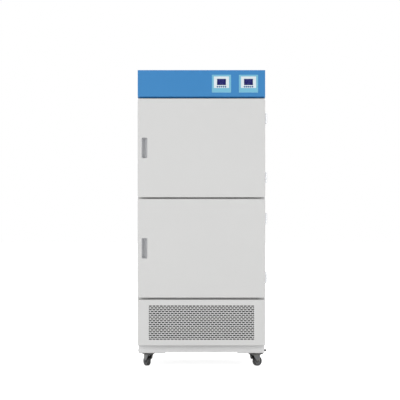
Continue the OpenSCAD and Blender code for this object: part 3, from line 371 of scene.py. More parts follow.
# %% Wiped smears
smears, start, end = effect("wiped_smears", [
    ("Roughness", "Float", 0.05), ("Spread", "Float", 0.08)], [("Roughness", "Float")])
here = object_place(smears)
bent = put(smears, "VectorMath", {"operation": "MULTIPLY_ADD"}, here, (9.0, 9.0, 2.2),
           put(smears, "TexNoise", None, Vector=here, Scale=2.0).outputs["Color"]).outputs[0]
streaks = remap(smears, noise(smears, bent, 2.0, 5.0, 0.6), 0.45, 0.75, 0.0, 1.0)
give(smears, end, Roughness=sums(smears, "MULTIPLY_ADD", streaks, start["Spread"],
                                 start["Roughness"]))

# %% [markdown]
# ## Starting a material
#
# Each material is a Principled shader with effect groups in front of it. The helper makes
# the shader, sets what is the same all over the surface straight on its sockets, and
# returns what the next cells need to wire the rest.

# %% A helper that starts a material
finishes = {}


def finish(slot, **sockets):
    """A material for one of the record's slots, with its plain values set."""
    made = bpy.data.materials.new(slot)
    made.use_nodes = True
    tree = made.node_tree
    shader = tree.nodes["Principled BSDF"]
    for key, value in sockets.items():
        shader.inputs[key.replace("_", " ")].default_value = value
    finishes[slot] = made
    return tree, shader.inputs


def use(tree, group, **values):
    """Place an effect in a material."""
    made = tree.nodes.new("ShaderNodeGroup")
    made.node_tree = group
    for key, value in values.items():
        socket = made.inputs[key.replace("_", " ")]
        if isinstance(value, bpy.types.NodeSocket):
            tree.links.new(value, socket)
        else:
            socket.default_value = value
    return made.outputs


def wire(tree, sockets, **results):
    """Link results to the shader by socket name."""
    for key, value in results.items():
        tree.links.new(value, sockets[key.replace("_", " ")])


def bump(tree, height, depth, normal):
    """A normal from a height pattern, with its depth in metres, over the edges' normal."""
    return put(tree, "Bump", None, Distance=depth, Height=height, Normal=normal).outputs[0]


# %% [markdown]
# ## Powder-coated sheet
#
# The cabinet, its doors and the slotted panel are one off-white coat, the control panel a
# satin blue, and the plinth a slightly paler and rougher white. They share the peel, the
# clouds, the edge wear and the dust, so one function makes all three. It also paints the
# shade of the machine compartment, a near-black on the faces inside it.

# %% Powder coats
DUST = linear(150, 143, 132)
# The painted shade: a near-black laid into closed-in corners
CORNER_SHADE_COLOR = linear(16, 15, 14)
# The painted shade: a near-black laid on the faces inside the machine compartment
COMPARTMENT_SHADE_COLOR = linear(10, 10, 11)


def powder_coat(slot, color, worn, roughness, edge_amount, dust_amount, reach=0.1):
    """A painted finish with peel, clouds, worn edges, dust and the compartment's painted shade.
    """
    tree, sockets = finish(slot, Specular_IOR_Level=0.5)
    skin = use(tree, peel, Scale=620.0, Roughness=roughness, Spread=0.1)
    tone = use(tree, clouded, Color=color, Cloud=0.035, Speckle=0.03)["Color"]
    edge = use(tree, edges, Width=0.0012, Amount=edge_amount)
    settled = use(tree, dust, Amount=dust_amount, Floor_Reach=reach)["Mask"]
    tone = blend_colors(tree, edge["Mask"], tone, worn)
    tone = blend_colors(tree, settled, tone, DUST)
    # Painted shade: near-black on the faces inside the machine compartment
    tone = blend_colors(tree, use(tree, inside_shade)["Mask"], tone, COMPARTMENT_SHADE_COLOR)
    wire(tree, sockets, Base_Color=tone,
         Roughness=sums(tree, "MULTIPLY_ADD", settled, 0.4, skin["Roughness"]),
         Normal=bump(tree, skin["Height"], 0.00006, edge["Normal"]))
    print("powder coat:", slot)


powder_coat("cabinet_paint", linear(216, 216, 215), linear(198, 197, 193), roughness=0.42,
            edge_amount=0.35, dust_amount=0.16)
powder_coat("fascia_paint", linear(47, 130, 192), linear(84, 148, 202), roughness=0.36,
            edge_amount=0.35, dust_amount=0.14)
powder_coat("base_paint", linear(226, 226, 226), linear(176, 175, 172), roughness=0.46,
            edge_amount=0.5, dust_amount=0.2, reach=0.16)

# %% [markdown]
# ## Metals
#
# The chambers are brushed stainless, the shelves polished wire, the casters' forks zinc
# plated, the hinges satin nickel, the coils' fins aluminium and the motors dull cast metal.
# All share the brushed grain, with different stretch, gloss and colour. Zinc has a faint
# yellow and blue bloom from its passivation.

# %% Metals
def bare_metal(slot, color, stretch, roughness, spread, depth, bloom=None, edge_amount=0.3,
               corner_shade_amount=0.0):
    """A metal finish with grain, clouds and bright edges, and for some bloom and painted shade
    in corners.
    """
    tree, sockets = finish(slot, Metallic=1.0)
    grain = use(tree, brushed, Stretch=stretch, Roughness=roughness, Spread=spread)
    tone = use(tree, clouded, Color=color, Cloud=0.06, Speckle=0.04)["Color"]
    grey = put(tree, "CombineColor", None, *[grain["Tone"]] * 3).outputs[0]
    tone = blend_colors(tree, 1.0, tone, grey, "MULTIPLY")
    if bloom:
        here = object_place(tree)
        patches = remap(tree, noise(tree, here, 55.0, 3.0), 0.42, 0.62, 0.0, 1.0)
        tone = blend_colors(tree, patches, tone, bloom)
    edge = use(tree, edges, Width=0.0008, Amount=edge_amount)
    tone = blend_colors(tree, edge["Mask"], tone, linear(226, 227, 229))
    # Painted shade in closed-in corners, from the ambient occlusion group
    if corner_shade_amount:
        tone = blend_colors(tree, use(tree, shade_in_corners, Amount=corner_shade_amount)["Mask"], tone, CORNER_SHADE_COLOR)
    wire(tree, sockets, Base_Color=tone, Roughness=grain["Roughness"],
         Normal=bump(tree, grain["Height"], depth, edge["Normal"]))
    print("metal:", slot)


# Slot, colour, stretch, roughness and how much it varies, and the grain's depth in metres
bare_metal("stainless", linear(205, 207, 209), (2.0, 380.0, 380.0), 0.34, 0.18, 0.00003)
bare_metal("wire_steel", linear(208, 210, 212), (60.0, 60.0, 60.0), 0.2, 0.1, 0.00001)
# The zinc forks get painted shade in their corners
bare_metal("zinc", linear(100, 101, 104), (90.0, 90.0, 20.0), 0.34, 0.2, 0.00003,
           bloom=linear(112, 111, 107), corner_shade_amount=0.9)
bare_metal("hinge_steel", linear(200, 201, 203), (300.0, 300.0, 6.0), 0.36, 0.12, 0.00002)
bare_metal("fin_aluminium", linear(196, 198, 201), (40.0, 260.0, 8.0), 0.42, 0.2, 0.00003)
bare_metal("motor_metal", linear(140, 142, 145), (160.0, 160.0, 160.0), 0.5, 0.2, 0.0001)

# %% [markdown]
# ## Moulded plastics and rubber
#
# Dark fan blades, the pale grey finger recesses, the white inner door pans, the controllers,
# the keys, the tyres and the door seals are all polymer. They differ in colour, in gloss
# and in how coarse the mould's texture is, so again one function with a few values makes
# them. The thick paint of the compressor and the condenser looks as soft, so it joins them.

# %% Plastics and rubber
def polymer(slot, color, grain, roughness, depth, edge_color, dust_amount=0.12,
            edge_amount=0.4, reach=0.1, corner_shade_amount=0.0, **sockets_given):
    """A moulded finish with grain, clouds, worn edges and dust, and for some painted shade in
    corners.
    """
    tree, sockets = finish(slot, **sockets_given)
    skin = use(tree, moulded, Grain=grain, Roughness=roughness, Spread=0.12)
    tone = use(tree, clouded, Color=color, Cloud=0.05, Speckle=0.05)["Color"]
    edge = use(tree, edges, Width=0.001, Amount=edge_amount)
    settled = use(tree, dust, Amount=dust_amount, Floor_Reach=reach)["Mask"]
    tone = blend_colors(tree, edge["Mask"], tone, edge_color)
    tone = blend_colors(tree, settled, tone, DUST)
    # Painted shade in closed-in corners, from the ambient occlusion group
    if corner_shade_amount:
        tone = blend_colors(tree, use(tree, shade_in_corners, Amount=corner_shade_amount)["Mask"], tone, CORNER_SHADE_COLOR)
    wire(tree, sockets, Base_Color=tone, Roughness=skin["Roughness"],
         Normal=bump(tree, skin["Height"], depth, edge["Normal"]))
    print("polymer:", slot)


# Slot, colour, grain, roughness, the grain's depth in metres and the colour of worn edges
polymer("liner_plastic", linear(222, 223, 224), 500.0, 0.34, 0.00003, linear(214, 214, 214))
polymer("gasket_rubber", linear(74, 75, 77), 900.0, 0.62, 0.00003, linear(98, 98, 98))
polymer("cup_plastic", linear(208, 209, 211), 1100.0, 0.44, 0.00004, linear(216, 217, 218))
polymer("controller_plastic", linear(118, 189, 216), 1500.0, 0.3, 0.00001,
        linear(160, 212, 236))
polymer("key_plastic", linear(20, 92, 152), 1300.0, 0.38, 0.00001, linear(70, 130, 180))
polymer("fan_plastic", linear(44, 44, 46), 900.0, 0.5, 0.00004, linear(70, 70, 72),
        dust_amount=0.3)
polymer("inlet_plastic", linear(34, 34, 36), 1200.0, 0.48, 0.00003, linear(58, 58, 60))
# The tyres get painted shade where they sit in the forks
polymer("tread_rubber", linear(40, 41, 43), 700.0, 0.58, 0.00006, linear(62, 62, 62),
        dust_amount=0.2, edge_amount=0.5, reach=0.05, corner_shade_amount=0.8)
polymer("pedal_plastic", linear(24, 24, 26), 800.0, 0.5, 0.00005, linear(56, 56, 57),
        dust_amount=0.2)
polymer("compressor_paint", linear(30, 30, 32), 420.0, 0.28, 0.00005, linear(64, 62, 60),
        dust_amount=0.4, edge_amount=0.5, Coat_Weight=0.3)
polymer("condenser_paint", linear(22, 22, 24), 600.0, 0.5, 0.00004, linear(46, 45, 44),
        dust_amount=0.3)

# %% [markdown]
# ## Foam, glass and the display
#
# The foam is poured between the sheets and shows only where a panel is off. Rigid foam is a
# mass of small cells under a thin skin. The glass doors are clear toughened glass with a
# green body, and the displays are dark blue cells under a glossy window.

# %% Foam, glass and display
tree, sockets = finish("foam", Roughness=0.9)
here = object_place(tree)
cells = put(tree, "TexVoronoi", None, Vector=here, Scale=420.0).outputs["Distance"]
tone = use(tree, clouded, Color=linear(226, 210, 160), Cloud=0.16, Speckle=0.1)["Color"]
shadowed = remap(tree, cells, 0.0, 0.6, 0.8, 1.0)
grey = put(tree, "CombineColor", None, *[shadowed] * 3).outputs[0]
wire(tree, sockets, Base_Color=blend_colors(tree, 1.0, tone, grey, "MULTIPLY"),
     Normal=put(tree, "Bump", None, Distance=0.0006, Height=cells).outputs[0])

tree, sockets = finish("glass", Transmission_Weight=1.0, IOR=1.5, Metallic=0.0)
tone = use(tree, clouded, Color=(0.94, 0.985, 0.965, 1), Cloud=0.01, Speckle=0.0)["Color"]
wire(tree, sockets, Base_Color=tone,
     Roughness=use(tree, smears, Roughness=0.0, Spread=0.05)["Roughness"])

tree, sockets = finish("display_glass", Specular_IOR_Level=0.25)
tone = use(tree, clouded, Color=linear(16, 20, 98), Cloud=0.05, Speckle=0.12)["Color"]
wire(tree, sockets, Base_Color=tone,
     Roughness=use(tree, smears, Roughness=0.16, Spread=0.1)["Roughness"])
print("made", len(finishes), "finishes")

# %% [markdown]
# ## Dressing the frame's own solids
#
# The record says which slot each node takes. Most solids already have the right shape, so
# they only trade their flat import material for the finish of their slot.

# %% Give every node its finish
slot_of = {part["node"]: part["material_slot"] for part in frame["record"]["subparts"]}
for node, solid in frame["nodes"].items():
    for place in solid.material_slots:
        place.material = finishes[slot_of[node]]
print("dressed", len(slot_of), "nodes")

# %% [markdown]
# ## Mesh helpers
#
# A pressed or moulded panel is a stack of rounded rectangles, each a little smaller or
# deeper than the one before. Joining such loops with quads gives folded edges and soft
# lips exactly where they are wanted. Loops that join have the same number of points, so
# they always meet cleanly. Most lie parallel to the doors and are placed by their middle.
# Those that face another way, on a wheel or at the side, get a plane of their own.

# %% Loops of points
def loop(width, height, radius, steps=6):
    """A rounded rectangle round the origin, as (x, z) points in millimetres."""
    points = []
    for quarter, (side_x, side_z) in enumerate(((1, 1), (-1, 1), (-1, -1), (1, -1))):
        for step in range(steps + 1):
            angle = math.radians(90 * quarter + 90 * step / steps)
            points.append((side_x * (width / 2 - radius) + radius * math.cos(angle),
                           side_z * (height / 2 - radius) + radius * math.sin(angle)))
    return points


def circle(radius, count=28):
    """A circle round the origin, as (x, z) points in millimetres."""
    return [(radius * math.cos(math.tau * i / count), radius * math.sin(math.tau * i / count))
            for i in range(count)]


def plane(origin, across, up, away):
    """Where a loop lies: its origin in metres and the directions of its three axes."""
    return Matrix([(*row, start) for row, start in zip(zip(across, up, away), origin)]
                  + [(0, 0, 0, 1)])


def front(x, z):
    """The plane of the door faces, with its origin at a point given in millimetres."""
    return plane(at(x, 0, z), (1, 0, 0), (0, 0, 1), (0, 1, 0))


def add_loop(mesh, where, points, depth):
    """Put a loop into a mesh, at a depth in front of or behind its plane."""
    where = where if isinstance(where, Matrix) else front(*where)
    return [mesh.verts.new(where @ (Vector((a, b, depth)) * MM)) for a, b in points]


def join(mesh, first, second):
    """Quads between two loops of equal length."""
    for i in range(len(first)):
        j = (i + 1) % len(first)
        mesh.faces.new((first[i], first[j], second[j], second[i]))


def stack(mesh, loops, closed=False):
    """Quads from each loop to the next, and from the last to the first if closed."""
    for first, second in zip(loops, loops[1:] + (loops[:1] if closed else [])):
        join(mesh, first, second)


def fill(mesh, *loops):
    """A flat face inside the first loop, with the other loops as holes in it."""
    rims = []
    for ring in loops:
        for i, corner in enumerate(ring):
            pair = (corner, ring[(i + 1) % len(ring)])
            rims.append(mesh.edges.get(pair) or mesh.edges.new(pair))
    bmesh.ops.triangle_fill(mesh, edges=rims, use_beauty=True)


# %% [markdown]
# ## Turning a mesh into a piece
#
# A finished mesh becomes an object with the finish of its slot. Faces are smooth, sharp
# folds stay sharp, and a weighted-normal modifier keeps wide flat panels flat beside their
# small radii. Then the piece is told which body it moves with.

# %% From mesh to piece
def piece(name, mesh, body, slot, replaced=(), sharp=35):
    """Make an object from a bmesh, dress it, and let it ride on a body."""
    bmesh.ops.recalc_face_normals(mesh, faces=mesh.faces)
    data = bpy.data.meshes.new(name)
    mesh.to_mesh(data)
    mesh.free()
    data.materials.append(finishes[slot])
    for face in data.polygons:
        face.use_smooth = True
    data.set_sharp_from_angle(angle=math.radians(sharp))
    made = bpy.data.objects.new(name, data)
    bpy.context.scene.collection.objects.link(made)
    even = made.modifiers.new("even_normals", "WEIGHTED_NORMAL")
    even.keep_sharp = True
    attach(made, body)
    if replaced:
        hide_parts(*replaced)
    print(name, len(data.polygons), "faces")
    return made


def fold(radius, steps=4):
    """(inset, depth) pairs round a folded edge, from its side to its face."""
    return [(radius - radius * math.cos(math.radians(90 * i / steps)),
             radius - radius * math.sin(math.radians(90 * i / steps)))
            for i in range(steps + 1)]


# %% [markdown]
# ## The door pans
#
# Each door's outer pan is one folded sheet. Its edges are not knife sharp: the bend leaves
# a three millimetre radius all round, which catches a thin line of light. The pan is drawn
# as loops from its open back, over the fold, to the face, and the face is filled round the
# hole for the finger recess. The hole's rim is drawn in over a small radius.

# %% Door pans
DOOR_W, DOOR_T, SHEET = 660.0, 50.0, 1.5
CORNER, FOLD_R, TIGHTEST = 8.0, 3.0, 2
HANDLE_W, HANDLE_H, UNDERCUT = 29.0, 106.0, 8.0
HOLE_CORNER = 5
door_height = (door_hi[2] - door_lo[2]) / MM
cup_lo, cup_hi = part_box("upper_handle_cup")
# The opening's middle lies to the right of the middle of the cup with its undercut
CUP_X = ((cup_lo[0] + cup_hi[0]) / 2 - MIDDLE_X) / MM + UNDERCUT / 4
pan_edge = [(SHEET, DOOR_T), (0.0, DOOR_T)] + fold(FOLD_R)
lip = [(1.2, 0.0), (0.65, 0.15), (0.35, 0.55), (0.3, SHEET)]


def door_loop(mesh, level, inset, corner, depth):
    """A loop round a door, set in from the door's edge."""
    points = loop(DOOR_W - 2 * inset, door_height - 2 * inset, corner)
    return add_loop(mesh, (0, door_middle[level]), points, depth)


for level in LEVELS:
    pan = bmesh.new()
    sides = [door_loop(pan, level, inset, max(CORNER - inset, TIGHTEST), depth)
             for inset, depth in pan_edge]
    stack(pan, sides)
    rim = [add_loop(pan, (CUP_X, door_middle[level]),
                    loop(HANDLE_W + 2 * grow, HANDLE_H + 2 * grow, HOLE_CORNER + grow), depth)
           for grow, depth in lip]
    stack(pan, rim)
    fill(pan, sides[-1], rim[0])
    piece(level + "_door_pan", pan, level + "_door", "cabinet_paint", [level + "_door_shell"])

# %% [markdown]
# ## The finger recesses
#
# A moulded cup sits in each door. Its lip is rounded where fingers curl over it, the wall
# reaches behind the lip on one side to give them something to pull on, and the floor meets
# the walls in a soft radius. Loops again: over the lip, down the throat, out into the
# undercut, and in along the floor.

# %% Finger recesses
CUP_T, CUP_DEPTH, CUP_CORNER, CUP_TIGHTEST = 2.0, 28.0, 5.0, 2.4
CUP_OUTSIDE = 1.8                                # where its outer wall starts, behind the lip
cup_path = [(0.0, 1.4, 0.0), (0.0, 0.35, 0.0), (-0.45, -0.1, 0.0), (-1.2, -0.15, 0.0),
            (-1.75, 0.1, 0.0), (-CUP_T, 0.7, 0.0), (-CUP_T, 3.8, 0.0), (-CUP_T, 3.9, UNDERCUT),
            (-CUP_T, 22.0, UNDERCUT), (-CUP_T - 0.8, 25.0, UNDERCUT),
            (-CUP_T - 2.6, 27.2, UNDERCUT), (-CUP_T - 5.0, CUP_DEPTH, UNDERCUT)]

for level in LEVELS:
    cup = bmesh.new()
    rings = []
    for grow, depth, reach in cup_path:
        points = loop(HANDLE_W + 2 * grow + reach, HANDLE_H + 2 * grow,
                      max(CUP_CORNER + grow, CUP_TIGHTEST))
        rings.append(add_loop(cup, (CUP_X - reach / 2, door_middle[level]), points, depth))
    stack(cup, rings)
    cup.faces.new(rings[-1])
    outer = [add_loop(cup, (CUP_X - UNDERCUT / 2, door_middle[level]),
                      loop(HANDLE_W + UNDERCUT, HANDLE_H, CUP_CORNER), depth)
             for depth in (CUP_OUTSIDE, CUP_DEPTH + CUP_T)]
    join(cup, *outer)
    cup.faces.new(outer[1])
    fill(cup, outer[0], rings[0])
    piece(level + "_finger_cup", cup, level + "_door", "cup_plastic",
          [level + "_handle_cup"], sharp=50)

# %% [markdown]
# ## The door seals
#
# A refrigerator-type seal is a soft extrusion: a flat foot on the door, a bellows that lets
# it give, and a head that holds the magnet. Its section is drawn once, as distances from
# the door's edge and depths, and every point of the section becomes a loop round the door.

# %% Door seals
seal_section = [(6, 50), (6, 51.6), (7.2, 52.4), (9.6, 52.9), (8.2, 54.0), (9.8, 55.2),
                (8.4, 56.2), (7.2, 56.9), (7.0, 59.0), (7.8, 59.7), (20.2, 59.7), (21, 59.0),
                (20.8, 56.9), (19.6, 56.2), (18.2, 55.2), (19.8, 54.0), (18.4, 52.9),
                (20.8, 52.4), (22, 51.6), (22, 50)]
SEAL_CORNER, SEAL_TIGHTEST = 14.0, 1.5

for level in LEVELS:
    seal = bmesh.new()
    rings = [door_loop(seal, level, inset, max(SEAL_CORNER - inset, SEAL_TIGHTEST), depth)
             for inset, depth in seal_section]
    stack(seal, rings, closed=True)
    piece(level + "_door_seal", seal, level + "_door", "gasket_rubber",
          [level + "_door_gasket"], sharp=60)

# %% [markdown]
# ## The doors' inner pans
#
# The inside of each door is one vacuum-formed sheet. Warm plastic never follows a mould into
# a sharp corner, so the flange rolls over into the dish, the walls lean a little to let the
# mould go, and the floor meets them in a wide radius.

# %% Inner pans
FLANGE_EDGE = 1.8
DISH_W, DISH_H, DISH_CORNER = 544.0, 440.0, 12.0
flange = [(0.0, 48.2), (0.0, 49.6), (0.4, 50.0)]
dish = [(-4.0, 50.0), (-1.4, 49.5), (-0.3, 47.8), (1.4, 29.0), (2.2, 26.9), (4.4, 25.5),
        (8.0, 25.0)]
for level in LEVELS:
    pan = bmesh.new()
    rings = [door_loop(pan, level, FLANGE_EDGE + inset, CORNER - FLANGE_EDGE, depth)
             for inset, depth in flange]
    for inset, depth in dish:
        points = loop(DISH_W - 2 * inset, DISH_H - 2 * inset, DISH_CORNER - inset / 2)
        rings.append(add_loop(pan, (0, door_middle[level]), points, depth))
    stack(pan, rings)
    pan.faces.new(rings[-1])
    piece(level + "_inner_pan", pan, level + "_door", "liner_plastic",
          [level + "_door_liner"], sharp=60)

# %% [markdown]
# ## The controllers
#
# Each controller is a shallow face that stands three millimetres out of the panel, with a
# paler film laid on it round the display and the keys, and a closed case behind. The face
# and the film need the same holes, for the window and five keys, so both are drawn by one
# function: a soft-edged plate with round and rectangular holes.

# %% Plates with holes
BEZEL_T, FILM_T, KEY_PROUD = 3.0, 0.4, 1.2
KEY_PITCH, KEY_RISE, KEY_BORE = 10.3, -15.6, 3.0
WINDOW_W, WINDOW_H, WINDOW_RISE = 45.5, 31.6, 8.9
WINDOW_PLAY, WINDOW_CORNER, PLATE_TIGHTEST = 0.3, 0.6, 0.3
controller_at = {}
for side in ("left", "right"):
    low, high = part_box(side + "_key_3")
    controller_at[side] = (((low[0] + high[0]) / 2 - MIDDLE_X) / MM,
                           (low[2] + high[2]) / 2 / MM - KEY_RISE)


def holed_plate(mesh, centre, size, corner, face, back, edge, holes):
    """A plate with a soft front edge; each hole is a (middle, points, depth) of its own."""
    width, height = size
    rings = [add_loop(mesh, centre, loop(width, height, corner), back)]
    for inset, depth in fold(edge):
        tight = max(corner - inset, PLATE_TIGHTEST)
        points = loop(width - 2 * inset, height - 2 * inset, tight)
        rings.append(add_loop(mesh, centre, points, face + depth))
    stack(mesh, rings)
    rims = []
    for middle, points, depth in holes:
        rims.append(add_loop(mesh, middle, points, face))
        join(mesh, rims[-1], add_loop(mesh, middle, points, depth))
    fill(mesh, rings[-1], *rims)


def key_places(centre):
    """The middles of the five keys under a display, from left to right."""
    return [(centre[0] + k * KEY_PITCH, centre[1] + KEY_RISE) for k in range(-2, 3)]


def face_holes(centre, key_depth, window_depth):
    """Five round holes for the keys and one for the display, each with its own depth."""
    points = loop(WINDOW_W + 2 * WINDOW_PLAY, WINDOW_H + 2 * WINDOW_PLAY, WINDOW_CORNER)
    return ([(place, circle(KEY_BORE), key_depth) for place in key_places(centre)]
            + [((centre[0], centre[1] + WINDOW_RISE), points, window_depth)])


# %% Controller faces, films and cases
FACE_SIZE, FILM_SIZE, FILM_RISE = (99.6, 92.4), (79.0, 59.5), 7.6
CASE_W, CASE_H, CASE_CORNER = 91.6, 84.4, 1.5
case_steps = [(0, 1.5), (0, 34.0), (3, 35.0), (3, 51.0), (4, 52.0)]
film_front = -BEZEL_T - FILM_T
FILM_SUNK = 0.02
KEY_WALL, WINDOW_WALL = 0.3, -1.3                # depths where the walls of the holes end
faces, films, cases = bmesh.new(), bmesh.new(), bmesh.new()
for centre in controller_at.values():
    holed_plate(faces, centre, FACE_SIZE, corner=3.0, face=-BEZEL_T, back=0.0, edge=1.1,
                holes=face_holes(centre, KEY_WALL, WINDOW_WALL))
    holed_plate(films, (centre[0], centre[1] + FILM_RISE), FILM_SIZE, corner=2.0,
                face=film_front, back=-BEZEL_T + FILM_SUNK, edge=0.2,
                holes=face_holes(centre, -BEZEL_T, -BEZEL_T))
    rings = [add_loop(cases, centre, loop(CASE_W - 2 * inset, CASE_H - 2 * inset, CASE_CORNER),
                      depth) for inset, depth in case_steps]
    stack(cases, rings)
    cases.faces.new(rings[-1])
piece("controller_faces", faces, "cabinet", "controller_plastic", ["controllers"])
film_piece = piece("controller_films", films, "cabinet", "controller_plastic", ["controllers"])
piece("controller_cases", cases, "cabinet", "inlet_plastic", ["controllers"])
print("controllers at", {side: [round(v, 1) for v in c] for side, c in controller_at.items()})

# %% [markdown]
# ## The film's finish
#
# The film round the display and the keys is almost white, a shade cooler than the cabinet.
# It is printed on its back, so its surface is smooth with a faint sparkle of texture.

# %% Film finish
polymer("film", linear(224, 235, 240), 1600.0, 0.32, 0.000006, linear(226, 236, 240),
        dust_amount=0.05, edge_amount=0.2)
film_piece.data.materials[0] = finishes["film"]
print("film dressed")

# %% [markdown]
# ## Turned pieces
#
# Keys, collars, wheels and their nuts are turned forms. A list of (radius, depth) pairs is
# their profile, and circles through those pairs, joined and closed, make the solid.

# %% A helper that turns a profile
def turn(mesh, where, profile, count=28, bored=False):
    """Circles through (radius, depth) pairs: closed at both ends, or bored right through."""
    rings = [add_loop(mesh, where, circle(radius, count), depth) for radius, depth in profile]
    stack(mesh, rings, closed=bored)
    if not bored:
        mesh.faces.new(rings[0])
        mesh.faces.new(rings[-1])


# %% [markdown]
# ## The keys
#
# Ten small round keys move on their own bodies. Each has a rounded rim and a shallow hollow
# for the fingertip, which is what makes a key look pressed rather than printed.

# %% Keys
key_front = film_front - KEY_PROUD
key_profile = [(2.5, 5.0), (2.8, 4.7), (2.8, 0.45), (2.68, 0.14), (2.4, 0.0), (1.9, 0.1),
               (1.2, 0.2), (0.5, 0.25)]
for side, centre in controller_at.items():
    for number, place in enumerate(key_places(centre), 1):
        cap = bmesh.new()
        turn(cap, place, [(radius, key_front + depth) for radius, depth in key_profile])
        name = f"{side}_key_{number}"
        piece(name + "_cap", cap, name, "key_plastic", [name], sharp=60)

# %% [markdown]
# ## Collars round the keys
#
# A low moulded collar frames each key and the fine gap round it. It stands a third of a
# millimetre over the film, and the key stays above it when pressed.

# %% Key collars
collar_profile = [(3.0, 0.1), (3.0, -0.2), (3.15, -0.32), (3.95, -0.32), (4.25, -0.14),
                  (4.3, 0.1)]
collars = bmesh.new()
for centre in controller_at.values():
    for place in key_places(centre):
        turn(collars, place, [(radius, film_front + depth) for radius, depth in collar_profile],
             bored=True)
piece("key_collars", collars, "cabinet", "key_plastic", sharp=50)

# %% [markdown]
# ## Figures in the displays
#
# The photograph's displays are dark. A cell that is switched off still shows the faint
# shapes of its segments. Each figure is made of up to seven slim bars with pointed ends, a
# hair proud of the cell, in a blue only a little lighter than the background.

# %% Seven-segment figures
SEGMENTS = {"0": "abcdef", "2": "abged", "3": "abgcd", "5": "afgcd", "7": "abc"}
BAR_HALF, BAR_GAP, BAR_PROUD, BAR_SUNK = 0.55, 0.5, 0.05, 0.01
SLIMNESS = 0.52                                  # a figure's width for a height of one
figure_rows = [(11.0, 1.5, -13.5, 9.5), (6.0, -10.5, -6.5, 5.2)]    # height, rise, left, pitch


def bar(mesh, x, z, length, upright):
    """A slim six-cornered bar, lying or upright."""
    half, tip = length / 2, length / 2 - BAR_HALF
    corners = [(-half, 0), (-tip, BAR_HALF), (tip, BAR_HALF),
               (half, 0), (tip, -BAR_HALF), (-tip, -BAR_HALF)]
    if upright:
        corners = [(b, a) for a, b in corners]
    rims = [[mesh.verts.new(at(x + a, depth, z + b)) for a, b in corners]
            for depth in (-BEZEL_T - BAR_PROUD, -BEZEL_T + BAR_SUNK)]
    join(mesh, *rims)
    mesh.faces.new(rims[0])


def figure(mesh, x, z, height, shown):
    """One seven-segment figure whose lower left corner is at x, z."""
    width, half = height * SLIMNESS, height / 2
    spots = {"a": (width / 2, height, 0), "g": (width / 2, half, 0), "d": (width / 2, 0, 0),
             "f": (0, half * 1.5, 1), "b": (width, half * 1.5, 1),
             "e": (0, half / 2, 1), "c": (width, half / 2, 1)}
    for letter in shown:
        dx, dz, upright = spots[letter]
        bar(mesh, x + dx, z + dz, (half if upright else width) - BAR_GAP, upright)


figures = bmesh.new()
for centre, reading in zip(controller_at.values(), ("370", "250")):
    for height, rise, left, pitch in figure_rows:
        for place, digit in enumerate(reading):
            figure(figures, centre[0] + (left + place * pitch), centre[1] + WINDOW_RISE + rise,
                   height, SEGMENTS[digit])
figure_piece = piece("display_figures", figures, "cabinet", "display_glass")
polymer("figure_ink", linear(44, 50, 128), 1500.0, 0.3, 0.000002, linear(48, 54, 132),
        dust_amount=0.0, edge_amount=0.0)
figure_piece.data.materials[0] = finishes["figure_ink"]

# %% [markdown]
# ## Screws
#
# The back panel is held by pan-head screws along both sides and the top. Their heads are
# turned domes with a cross cut into them. The cross is a ring of twelve points inside the
# top circle, walled down into the head.

# %% Screw heads
CROSS_ARM, CROSS_HALF = 0.46, 0.13               # half sizes for a head with a radius of one
CROSS_TOP, CROSS_FLOOR, CROSS_TAPER = 1.3, 0.4, 0.8


def screw(mesh, where, face, radius=4.0):
    """A pan head with a cross recess that stands out of a face, given by its depth."""
    steps = [(1.0, 0.0), (1.0, 0.35), (0.9, 0.8), (0.66, 1.2)]
    rings = [add_loop(mesh, where, circle(radius * share, 24), face + rise)
             for share, rise in steps]
    stack(mesh, rings)
    arm, half = CROSS_ARM * radius, CROSS_HALF * radius
    cross = [(half, arm), (half, half), (arm, half), (arm, -half), (half, -half), (half, -arm),
             (-half, -arm), (-half, -half), (-arm, -half), (-arm, half), (-half, half),
             (-half, arm)]
    mouth = add_loop(mesh, where, cross, face + CROSS_TOP)
    bottom_cross = [(a * CROSS_TAPER, b * CROSS_TAPER) for a, b in cross]
    floor_ring = add_loop(mesh, where, bottom_cross, face + CROSS_FLOOR)
    join(mesh, mouth, floor_ring)
    mesh.faces.new(floor_ring)
    fill(mesh, rings[-1], mouth)


RIB_PROUD = 1.5                                  # the panel's ribs stand out of it
SIDE_IN, END_IN, SCREW_ROWS, TOP_SCREWS = 9, 8, 8, (-165, 0, 165)
back_lo, back_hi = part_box("back_panel")
BACK = (back_hi[1] - FACE_Y) / MM - RIB_PROUD
edge_x = DOOR_W / 2 - SIDE_IN
bottom, top = back_lo[2] / MM + END_IN, back_hi[2] / MM - END_IN
heads = bmesh.new()
for i in range(SCREW_ROWS):
    for x in (-edge_x, edge_x):
        screw(heads, (x, bottom + (top - bottom) * i / (SCREW_ROWS - 1)), BACK)
for x in TOP_SCREWS:
    screw(heads, (x, top), BACK)
piece("back_panel_screws", heads, "cabinet", "zinc", sharp=30)

# %% [markdown]
# ## The strip under the back panel
#
# The back panel stops two millimetres above the base. A strip of soft foam rubber closes
# that slit, so that the fans draw air only through the louvres. Its section is a flat foot
# with a rounded top, drawn once and run along the width.

